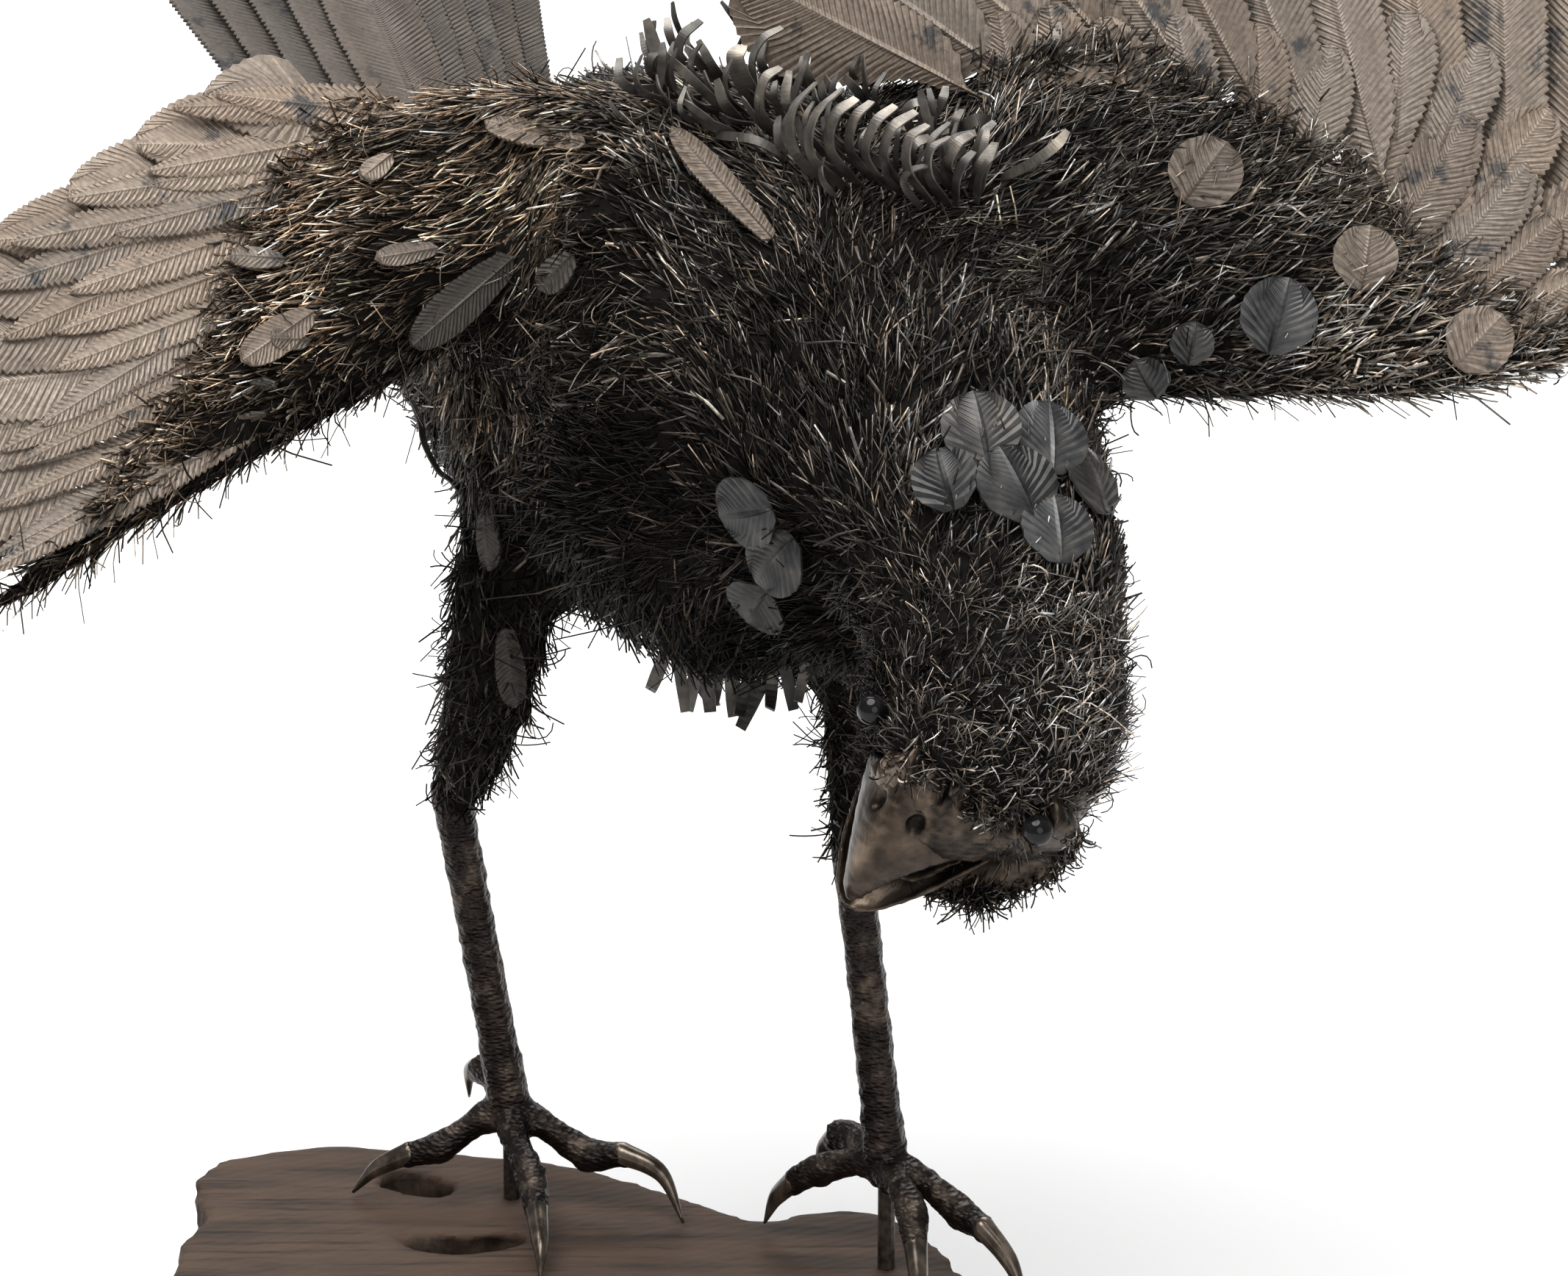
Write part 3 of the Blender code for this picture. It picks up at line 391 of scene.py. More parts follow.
class FalconSizes(bpy.types.PropertyGroup):
    """Sizes and counts of the sculpture's dressing."""

    strand_count: count_setting("Wires", "Places where a wire may stand in the coat", 74000)
    strand_width: length_setting("Wire thickness", "Thickness of one cut wire", 0.00056)
    coat_depth: length_setting("Coat depth", "How far the backing lies under the wires", 0.0038)
    backing_voxel: length_setting("Backing detail", "Size of the smallest detail on the backing", 0.0046)
    curl_count: count_setting("Curls", "Places where a stray curled wire may stand", 2100)
    ribbon_count: count_setting("Ribbons", "Small ribbons between the large ones of the ruff", 90)
    barb_pitch: length_setting("Barb pitch", "Distance between two chased lines", 0.00092)
    tooth_depth: length_setting("Tooth depth", "Depth of the comb cut in a feather's edge", 0.0011)
    sheet_thickness: length_setting("Sheet thickness", "Thickness of the feather sheet", 0.0008)
    beak_voxel: length_setting("Beak detail", "Size of the smallest detail on the beak", 0.00068)
    face_voxel: length_setting("Face detail", "Size of the smallest detail on the face", 0.00118)
    eye_radius: length_setting("Eye radius", "Radius of an eye's bead", 0.0037)
    leg_voxel: length_setting("Leg detail", "Size of the smallest detail on a leg", 0.00085)
    slab_voxel: length_setting("Slab detail", "Size of the smallest detail on the slab", 0.0026)
    camera_distance: length_setting("Camera distance", "From the camera to the bird", 1.7)
    camera_tilt: FloatProperty(
        name="Camera tilt",
        description="How far the camera looks down",
        default=math.radians(20),
        subtype="ANGLE",
    )
    key_power: power_setting("Top light", "Power of the soft top light", 46.0)
    fill_power: power_setting("Front light", "Power of the soft front light", 14.0)
    back_power: power_setting("Back light", "Power of the soft light behind the bird", 60.0)


class FalconColours(bpy.types.PropertyGroup):
    """Colours of the sculpture's finishes."""

    # The backing's near-black colour is painted shade between the wires.
    backing: colour_setting("Backing", "Sheet under the wires", (0.004, 0.0035, 0.003))
    sheet: colour_setting("Sheet", "Dusty feather sheet", (0.170, 0.139, 0.113))
    stain: colour_setting("Stain", "Dark patches on the sheet", (0.052, 0.050, 0.050))
    bronze: colour_setting("Bronze", "Rubbed bronze of the beak", (0.085, 0.062, 0.045))
    cast: colour_setting("Leg casting", "Dark casting of the legs", (0.024, 0.017, 0.014))
    rubbed: colour_setting("Rubbed casting", "Spots where the legs' casting is rubbed", (0.11, 0.085, 0.062))
    claw: colour_setting("Claw", "Polished claw", (0.050, 0.040, 0.031))
    peg: colour_setting("Peg", "Browned steel of the pegs", (0.030, 0.026, 0.024))
    peg_rust: colour_setting("Peg rust", "Lighter rust on the pegs", (0.115, 0.088, 0.066))
    bead: colour_setting("Bead", "Black glass of the eyes", (0.003, 0.003, 0.004))
    bead_haze: colour_setting("Bead haze", "Haze on the glass", (0.010, 0.009, 0.009))
    timber: colour_setting("Timber", "Sawn face of the slab", (0.064, 0.040, 0.027))
    bark: colour_setting("Bark", "Dark edge of the slab", (0.026, 0.017, 0.012))
    paper: colour_setting("Backdrop", "Floor and backdrop", (0.82, 0.82, 0.82))


def sizes():
    return bpy.context.scene.falcon_sizes


def colours():
    return bpy.context.scene.falcon_colours


def bird(x, y, z):
    """A place in millimetres, with z counted from the slab's top."""
    return Vector((x * MM, y * MM, SLAB_TOP + z * MM))


def square(way, along):
    """A direction turned square to another one."""
    return (way - along * way.dot(along)).normalized()


class Wing:
    """A wing's own frame, with back across the arm and top out of its upper side."""

    def __init__(self, start, out, top, side):
        self.start = bird(*start)
        self.out = Vector(out).normalized()
        top = Vector(top)
        self.top = square(top, self.out)
        self.back = self.out.cross(self.top) * side
        self.side = side

    def under_pixel(self, pixel):
        """The place on the wing's plane that a pixel of the photograph shows."""
        eye, ray = photo_ray(*pixel)
        return eye + ray * ((self.start - eye).dot(self.top) / ray.dot(self.top))


def photo_ray(across, down):
    """The camera's place and the direction through a pixel of the photograph."""
    size = sizes()
    ahead = Vector((0, math.cos(size.camera_tilt), -math.sin(size.camera_tilt)))
    up = Vector((0, math.sin(size.camera_tilt), math.cos(size.camera_tilt)))
    eye = TARGET - ahead * size.camera_distance
    right = (across - PHOTO_WIDTH / 2) / PIXELS_PER_MM * MM
    rise = (PHOTO_HEIGHT / 2 - down) / PIXELS_PER_MM * MM
    return eye, (ahead * size.camera_distance + Vector((right, 0, 0)) + up * rise).normalized()


def head_axes():
    """The head's centre, forward, left and up."""
    left = square(HEAD_LEFT, HEAD_FORWARD)
    return bird(*HEAD_CENTRE), HEAD_FORWARD, left, HEAD_FORWARD.cross(left)


def unit(vectors):
    """Vectors of an array, each made one long."""
    return vectors / np.maximum(np.linalg.norm(vectors, axis=-1, keepdims=True), 1e-12)


def smooth_route(points, steps):
    """A smooth run of places through the given ones."""
    points = [Vector(point) for point in points]
    run = [points[0] * 2 - points[1], *points, points[-1] * 2 - points[-2]]
    places = []
    for i in range(1, len(run) - 2):
        for step in range(steps):
            t = step / steps
            before, start, end, after = run[i - 1 : i + 3]
            places.append(
                0.5
                * (
                    start * 2
                    + (end - before) * t
                    + (before * 2 - start * 5 + end * 4 - after) * t * t
                    + (start * 3 - before - end * 3 + after) * t * t * t
                )
            )
    places.append(points[-1])
    return places


def spread(table, places):
    """Rows of a table read smoothly at other values of its first column."""
    table = np.array(table, float)
    knots = table[:, 0]
    slopes = np.gradient(table[:, 1:], knots, axis=0)
    index = np.clip(np.searchsorted(knots, places) - 1, 0, len(knots) - 2)
    width = knots[index + 1] - knots[index]
    t = ((np.array(places) - knots[index]) / width)[:, None]
    start, end = table[index, 1:], table[index + 1, 1:]
    rise, fall = slopes[index] * width[:, None], slopes[index + 1] * width[:, None]
    return (
        start * (2 * t**3 - 3 * t**2 + 1)
        + rise * (t**3 - 2 * t**2 + t)
        + end * (3 * t**2 - 2 * t**3)
        + fall * (t**3 - t**2)
    )


def prisms(rings):
    """Points and faces of closed prisms, from an array of prism, ring, corner and xyz."""
    count, steps, sides, _ = rings.shape
    first = (np.arange(count) * steps * sides)[:, None, None]
    ring = (np.arange(steps - 1) * sides)[None, :, None]
    corner = np.arange(sides)[None, None, :]
    after = (corner + 1) % sides
    low, high = first + ring, first + ring + sides
    walls = np.stack([low + corner, low + after, high + after, high + corner], axis=-1).reshape(-1, 4)
    start = first[:, 0] + np.arange(sides)[::-1]
    end = first[:, 0] + (steps - 1) * sides + np.arange(sides)
    return rings.reshape(-1, 3), [walls, np.concatenate([start, end])]


def prism_mesh(name, rings):
    """A mesh of closed prisms."""
    points, groups = prisms(rings)
    mesh = bpy.data.meshes.new(name)
    mesh.vertices.add(len(points))
    mesh.vertices.foreach_set("co", np.ascontiguousarray(points, np.float32).ravel())
    corners = np.concatenate([group.ravel() for group in groups]).astype(np.int32)
    counts = np.concatenate([np.full(len(group), group.shape[1]) for group in groups])
    starts = (np.cumsum(counts) - counts).astype(np.int32)
    mesh.loops.add(len(corners))
    mesh.loops.foreach_set("vertex_index", corners)
    mesh.polygons.add(len(counts))
    mesh.polygons.foreach_set("loop_start", starts)
    mesh.update(calc_edges=True)
    return mesh


def tint(mesh, values):
    """Gives each point its own colour."""
    layer = mesh.attributes.new("tint", "FLOAT_COLOR", "POINT")
    rows = np.ones((len(values), 4), np.float32)
    rows[:, :3] = values
    layer.data.foreach_set("color", rows.ravel())


def add_piece(name, mesh, material, slot, *nodes):
    """Links a mesh as a piece that rides on the sculpture's body."""
    piece = bpy.data.objects.new(name, mesh)
    bpy.context.scene.collection.objects.link(piece)
    return dress(piece, material, slot, *nodes)


def dress(piece, material, slot, *nodes):
    """Gives a piece its material and its body, and hides the nodes that it stands for; the slot is not used.
    """
    piece.data.materials.clear()
    piece.data.materials.append(material)
    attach(piece, "root")
    if nodes:
        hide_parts(*nodes)
    return piece


def dress_smooth(piece, material, slot, *nodes):
    """Smooths a piece's shading, then dresses it."""
    piece.data.shade_smooth()
    dress(piece, material, slot, *nodes)


def deselect():
    for obj in bpy.context.selected_objects:
        obj.select_set(False)


def take(obj):
    """Makes one object the selected and active one."""
    deselect()
    obj.select_set(True)
    bpy.context.view_layer.objects.active = obj


def apply_modifier(obj, kind, **values):
    """Adds a modifier with these values and applies it."""
    take(obj)
    bpy.ops.object.modifier_add(type=kind)
    modifier = obj.modifiers[-1]
    for key, value in values.items():
        setattr(modifier, key, value)
    bpy.ops.object.modifier_apply(modifier=modifier.name)


def copy_of_node(node, name):
    """A merged copy of a CAD node's mesh as a new object."""
    mesh = frame["nodes"][node].data.copy()
    mesh.name = name
    obj = bpy.data.objects.new(name, mesh)
    bpy.context.scene.collection.objects.link(obj)
    take(obj)
    bpy.ops.object.mode_set(mode="EDIT")
    bpy.ops.mesh.select_all(action="SELECT")
    bpy.ops.mesh.remove_doubles(threshold=0.00001)
    bpy.ops.object.mode_set(mode="OBJECT")
    return obj


def joined_lofts(name, lofts):
    """One object of closed lofts, each an array of rings."""
    obj = None
    deselect()
    for rings in lofts:
        part = bpy.data.objects.new(name, prism_mesh(name, np.array(rings, float)[None]))
        bpy.context.scene.collection.objects.link(part)
        part.select_set(True)
        obj = obj or part
    bpy.context.view_layer.objects.active = obj
    if len(lofts) > 1:
        bpy.ops.object.join()
    take(obj)
    bpy.ops.object.mode_set(mode="EDIT")
    bpy.ops.mesh.select_all(action="SELECT")
    bpy.ops.mesh.normals_make_consistent(inside=False)
    bpy.ops.object.mode_set(mode="OBJECT")
    return obj


def tube_rings(points, radii, sides):
    """Round sections along places, with radii in millimetres."""
    points = np.array([tuple(point) for point in points])
    along = unit(np.gradient(points, axis=0))
    across = unit(np.cross(along, (0.31, 0.22, 0.92)))
    over = np.cross(along, across)
    turn = np.linspace(0, 2 * math.pi, sides, endpoint=False)
    reach = (np.array(radii) * MM)[:, None, None]
    return points[:, None] + reach * (
        across[:, None] * np.cos(turn)[None, :, None] + over[:, None] * np.sin(turn)[None, :, None]
    )


def shift_points(obj, offsets):
    """Moves each point along its own normal by its own distance."""
    mesh = obj.data
    points, normals = point_arrays(obj)
    mesh.vertices.foreach_set("co", (points + normals * offsets[:, None]).astype(np.float32).ravel())
    mesh.update()


def point_arrays(obj):
    """Places and normals of an object's points."""
    mesh = obj.data
    points = np.empty(len(mesh.vertices) * 3, np.float32)
    normals = np.empty(len(mesh.vertices) * 3, np.float32)
    mesh.vertices.foreach_get("co", points)
    mesh.vertices.foreach_get("normal", normals)
    return points.reshape(-1, 3).astype(float), normals.reshape(-1, 3).astype(float)


def ripple(points, pitch, seed, octaves=3):
    """A smooth uneven value between about -1 and 1 over space."""
    rng = np.random.default_rng(seed)
    value = np.zeros(len(points))
    size = 1.0
    for _ in range(octaves):
        for _ in range(5):
            way = unit(rng.normal(size=3))
            value += size * np.sin(points @ way * (2 * math.pi / pitch) + rng.uniform(0, 6.28)) * 0.35
        pitch *= 0.5
        size *= 0.55
    return value


# Materials


def start_material(name, roughness, metallic):
    """A new material with its shader's plain values set."""
    material = bpy.data.materials.new(name)
    material.use_nodes = True
    shader = material.node_tree.nodes["Principled BSDF"]
    shader.inputs["Roughness"].default_value = roughness
    shader.inputs["Metallic"].default_value = metallic
    return material, shader


def add_node(material, kind, **values):
    """Adds a node and sets its properties, or its sockets where it has no such property."""
    node = material.node_tree.nodes.new(kind)
    for key, value in values.items():
        if hasattr(node, key):
            setattr(node, key, value)
        else:
            node.inputs[key.replace("_", " ")].default_value = value
    return node


def link(material, start, output, end, socket):
    material.node_tree.links.new(start.outputs[output], end.inputs[socket])


def on_object(material, texture, **mapping):
    """Lays a texture over the object's own coordinates."""
    place = add_node(material, "ShaderNodeTexCoord")
    turn = add_node(material, "ShaderNodeMapping", **mapping)
    link(material, place, "Object", turn, "Vector")
    link(material, turn, "Vector", texture, "Vector")
    return texture


def object_noise(material, scale, detail, stretch=(1, 1, 1), roughness=0.55):
    """Noise over the object's own coordinates."""
    noise = add_node(material, "ShaderNodeTexNoise", Scale=scale, Detail=detail, Roughness=roughness)
    return on_object(material, noise, Scale=stretch)


def tint_of(material):
    """The colour that each point carries."""
    return add_node(material, "ShaderNodeAttribute", attribute_name="tint")


def scaled(shade, share):
    """A colour made darker or lighter."""
    return tuple(channel * share for channel in shade)


def ramp(material, source, output, stops):
    """A colour ramp of (place, colour) stops."""
    node = add_node(material, "ShaderNodeValToRGB")
    link(material, source, output, node, "Fac")
    band = node.color_ramp
    while len(band.elements) < len(stops):
        band.elements.new(0.5)
    for element, (place, shade) in zip(band.elements, stops):
        element.position = place
        element.color = (*shade, 1.0)
    return node


def mixed(material, kind, first, second, share):
    """A colour mix; each of the first three is a (node, output) pair or a plain value."""
    node = add_node(material, "ShaderNodeMix", data_type="RGBA", blend_type=kind)
    for value, socket in ((share, 0), (first, 6), (second, 7)):
        if isinstance(value, tuple) and len(value) == 2:
            material.node_tree.links.new(value[0].outputs[value[1]], node.inputs[socket])
        elif isinstance(value, (int, float)):
            node.inputs[socket].default_value = value
        else:
            node.inputs[socket].default_value = (*value, 1.0)
    return node


def result(node):
    """The colour output of a mix."""
    return node, 2


def set_colour(material, shader, source):
    material.node_tree.links.new(source[0].outputs[source[1]], shader.inputs["Base Color"])


def roughness_from(material, shader, source, output, low, high):
    node = add_node(material, "ShaderNodeMapRange")
    node.inputs["To Min"].default_value = low
    node.inputs["To Max"].default_value = high
    link(material, source, output, node, "Value")
    link(material, node, "Result", shader, "Roughness")


def bump_from(material, shader, source, output, strength, distance, before=None):
    """Bump from a value; a second bump is put after the first."""
    node = add_node(material, "ShaderNodeBump", Strength=strength, Distance=distance)
    link(material, source, output, node, "Height")
    if before:
        link(material, before, "Normal", node, "Normal")
    link(material, node, "Normal", shader, "Normal")
    return node


def wire_material():
    """Oxidised cut wire, with each wire's own tone."""
    material, shader = start_material("oxidised_wire", 0.42, 0.80)
    shader.inputs["Specular IOR Level"].default_value = 0.25
    tone = tint_of(material)
    grime = object_noise(material, 700, 3)
    stops = (0.3, (0.45, 0.43, 0.42)), (0.52, (1, 1, 1)), (0.75, (1.6, 1.5, 1.38))
    shade = ramp(material, grime, "Fac", stops)
    set_colour(material, shader, result(mixed(material, "MULTIPLY", (tone, "Color"), (shade, "Color"), 1.0)))
    roughness_from(material, shader, grime, "Fac", 0.24, 0.62)
    return material


def painted_shade_backing_material():
    """Near-black sheet that shows between the wires: painted shade in the gaps of the coat."""
    material, shader = start_material("burnt_backing", 0.8, 0.3)
    shader.inputs["Specular IOR Level"].default_value = 0.05
    grain = object_noise(material, 420, 5, (1, 1, 0.3))
    dark = tuple(colours().backing)
    light = scaled(dark, 2.6)
    shade = ramp(material, grain, "Fac", ((0.35, dark), (0.7, light)))
    set_colour(material, shader, (shade, "Color"))
    bump_from(material, shader, grain, "Fac", 0.8, 0.0006)
    return material


def sheet_material():
    """Dusty chased sheet with dark steel-brown stains and fine lines along the barbs."""
    material, shader = start_material("chased_sheet", 0.6, 0.45)
    tone = tint_of(material)
    patches = object_noise(material, 62, 7, roughness=0.72)
    stain = ramp(material, patches, "Fac", ((0.37, (0, 0, 0)), (0.43, (1, 1, 1))))
    fine = object_noise(material, 900, 3)
    dust = ramp(material, fine, "Fac", ((0.3, (0.72, 0.71, 0.70)), (0.7, (1.22, 1.20, 1.17))))
    base = mixed(material, "MIX", tuple(colours().stain), tuple(colours().sheet), (stain, "Color"))
    dusty = mixed(material, "MULTIPLY", result(base), (dust, "Color"), 1.0)
    toned = mixed(material, "MULTIPLY", result(dusty), (tone, "Color"), 1.0)
    set_colour(material, shader, result(toned))
    roughness_from(material, shader, patches, "Fac", 0.72, 0.42)
    lines = add_node(material, "ShaderNodeUVMap", uv_map="vane")
    wave = add_node(material, "ShaderNodeTexWave", Scale=330.0, Distortion=0.6, Detail=1.0)
    link(material, lines, "UV", wave, "Vector")
    barbs = bump_from(material, shader, wave, "Fac", 0.45, 0.00018)
    bump_from(material, shader, fine, "Fac", 0.25, 0.00015, barbs)
    return material


def ribbon_material():
    """Bent ribbon and strip metal, darker and smoother than the feathers."""
    material, shader = start_material("ribbon_sheet", 0.45, 0.7)
    tone = tint_of(material)
    patches = object_noise(material, 160, 5)
    stops = (0.35, (0.5, 0.5, 0.52)), (0.55, (1, 1, 1)), (0.72, (1.7, 1.6, 1.45))
    shade = ramp(material, patches, "Fac", stops)
    set_colour(material, shader, result(mixed(material, "MULTIPLY", (tone, "Color"), (shade, "Color"), 1.0)))
    roughness_from(material, shader, patches, "Fac", 0.3, 0.6)
    bump_from(material, shader, patches, "Fac", 0.3, 0.0003)
    return material


def bronze_material():
    """Rubbed bronze, darker and brighter where the tint says: rubbed wear, painted shade in the nostrils and
    under the wire coat, and a painted highlight on the beak's ridge.
    """
    material, shader = start_material("beak_bronze", 0.36, 0.85)
    tone = tint_of(material)
    stains = object_noise(material, 110, 8, roughness=0.62)
    light = tuple(colours().bronze)
    dark = scaled(light, 0.42)
    bright = scaled(light, 1.6)
    shade = ramp(material, stains, "Fac", ((0.36, dark), (0.54, light), (0.74, bright)))
    set_colour(material, shader, result(mixed(material, "MULTIPLY", (shade, "Color"), (tone, "Color"), 1.0)))
    roughness_from(material, shader, stains, "Fac", 0.20, 0.46)
    chased = object_noise(material, 260, 5, (2.4, 2.0, 0.6))
    bump_from(material, shader, chased, "Fac", 0.35, 0.0005)
    return material


def casting_material():
    """Scaly dark casting of the legs, with rubbed spots."""
    material, shader = start_material("leg_casting", 0.4, 0.8)
    cells = add_node(material, "ShaderNodeTexVoronoi", Scale=820.0, feature="F1")
    scales = on_object(material, cells, Scale=(0.7, 0.7, 1.3))
    worn = object_noise(material, 130, 6)
    base = tuple(colours().cast)
    dark = scaled(base, 0.35)
    rubbed = tuple(colours().rubbed)
    shade = ramp(material, worn, "Fac", ((0.36, dark), (0.56, base), (0.76, rubbed)))
    set_colour(material, shader, (shade, "Color"))
    roughness_from(material, shader, worn, "Fac", 0.26, 0.55)
    pebbles = bump_from(material, shader, scales, "Distance", 0.7, 0.0007)
    bump_from(material, shader, worn, "Fac", 0.4, 0.0005, pebbles)
    return material


def claw_material():
    """Polished dark claw with a warm sheen."""
    material, shader = start_material("polished_claw", 0.24, 0.75)
    streaks = object_noise(material, 180, 4, (1, 1, 0.4))
    base = tuple(colours().claw)
    bright = scaled(base, 4.5)
    shade = ramp(material, streaks, "Fac", ((0.42, base), (0.72, bright)))
    set_colour(material, shader, (shade, "Color"))
    roughness_from(material, shader, streaks, "Fac", 0.16, 0.34)
    bump_from(material, shader, streaks, "Fac", 0.12, 0.0003)
    return material


def eye_material():
    """Black glass bead."""
    material, shader = start_material("bead_glass", 0.05, 0.0)
    shader.inputs["Specular IOR Level"].default_value = 0.20
    haze = object_noise(material, 300, 3)
    shade = ramp(material, haze, "Fac", ((0.4, colours().bead), (0.7, colours().bead_haze)))
    set_colour(material, shader, (shade, "Color"))
    roughness_from(material, shader, haze, "Fac", 0.03, 0.09)
    return material


def timber_material():
    """Weathered sawn timber: saw marks and grain on its faces, dark bark at its edge."""
    material, shader = start_material("sawn_timber", 0.75, 0.0)
    shader.inputs["Specular IOR Level"].default_value = 0.25
    grain = object_noise(material, 60, 8, (0.28, 1.6, 1.0), 0.65)
    streaks = object_noise(material, 150, 6, (0.10, 2.2, 1.0), 0.7)
    light = tuple(colours().timber)
    dark = scaled(light, 0.34)
    pale = scaled(light, 1.55)
    shade = ramp(material, grain, "Fac", ((0.30, dark), (0.48, light), (0.72, pale)))
    cracks = ramp(material, streaks, "Fac", ((0.36, (0.28, 0.26, 0.25)), (0.47, (1, 1, 1))))
    wood = mixed(material, "MULTIPLY", (shade, "Color"), (cracks, "Color"), 0.85)
    bark_grain = object_noise(material, 210, 7, (1, 1, 0.5), 0.7)
    edge_dark = tuple(colours().bark)
    edge_light = scaled(edge_dark, 3.0)
    bark = ramp(material, bark_grain, "Fac", ((0.36, edge_dark), (0.68, edge_light)))
    part = tint_of(material)
    split = add_node(material, "ShaderNodeSeparateColor")
    link(material, part, "Color", split, "Color")
    both = mixed(material, "MIX", result(wood), (bark, "Color"), (split, "Red"))
    set_colour(material, shader, result(both))
    bands = add_node(material, "ShaderNodeTexWave", Scale=95.0, Distortion=2.2, Detail=3.0)
    saw = on_object(material, bands, Rotation=(0, 0, math.radians(62)))
    marks = bump_from(material, shader, saw, "Fac", 0.35, 0.0005)
    fibres = bump_from(material, shader, streaks, "Fac", 0.6, 0.0008, marks)
    bump_from(material, shader, bark_grain, "Fac", 0.35, 0.0008, fibres)
    roughness_from(material, shader, grain, "Fac", 0.62, 0.86)
    return material


def steel_material():
    """Browned steel rod of the pegs."""
    material, shader = start_material("browned_steel", 0.5, 0.8)
    rust = object_noise(material, 500, 5)
    shade = ramp(material, rust, "Fac", ((0.35, tuple(colours().peg)), (0.7, tuple(colours().peg_rust))))
    set_colour(material, shader, (shade, "Color"))
    roughness_from(material, shader, rust, "Fac", 0.38, 0.65)
    bump_from(material, shader, rust, "Fac", 0.3, 0.0003)
    return material


def paper_material():
    """Pale matte floor."""
    material, shader = start_material("backdrop_paper", 0.9, 0.0)
    tone = object_noise(material, 3, 2)
    pale = tuple(colours().paper)
    shade = ramp(material, tone, "Fac", ((0.3, scaled(pale, 0.985)), (0.7, pale)))
    set_colour(material, shader, (shade, "Color"))
    return material


class Maker:
    """What each operator shares: it makes its pieces and is done"""

    def execute(self, context):
        self.make()
        return {"FINISHED"}


# Sheet feathers

# Places across a feather, from the trailing edge (-1) over the rib to the leading edge
COLUMNS = np.array((-1.0, -0.55, -0.09, 0.0, 0.09, 0.55, 1.0))
RIB_COLUMN = 3
# How far a barb runs ahead for each length outward, and the run over which barbs close up at the tip
BARB_SLANT = 0.85
TIP_RUN = 0.004
BARB_RISE = 0.00015
KEEL_DEPTH = 0.0004
THINNEST = 0.0004
# The right wing's sheets: their width along them, how many inner ones are cut short, and to what share
BLADE_SHARES = (0, 0.4, 0.65, 0.8, 0.92, 1)
BLADE_WIDTHS = (1, 1, 0.82, 0.6, 0.38, 0.14)
SHORT_FEATHERS = 7
SHORT_SHARE = 0.80
# Tone and barb pitch of the flight feathers, then outline, tone and barb pitch of the coverts
# The right wing's tones are higher than the left's: partly its lighter dust, partly painted light that evens
# out the stronger lamp light on the left wing.
FLIGHT_LOOKS = {"right": (1.25, 1.1), "left": (1.0, 1.0), "tail": (0.34, 1.0)}
COVERT_LOOKS = {"right": ("blade", 1.35, 1.0), "left": ("spoon", 0.95, 0.8)}
COVERT_SLOPE = math.radians(7)
COVERT_GAP = 0.0012
# Discs lighter than this are dusty sheet, the others are steel, which takes this share of the tone
DUSTY_FROM = 0.5
STEEL_SHARE = 0.15


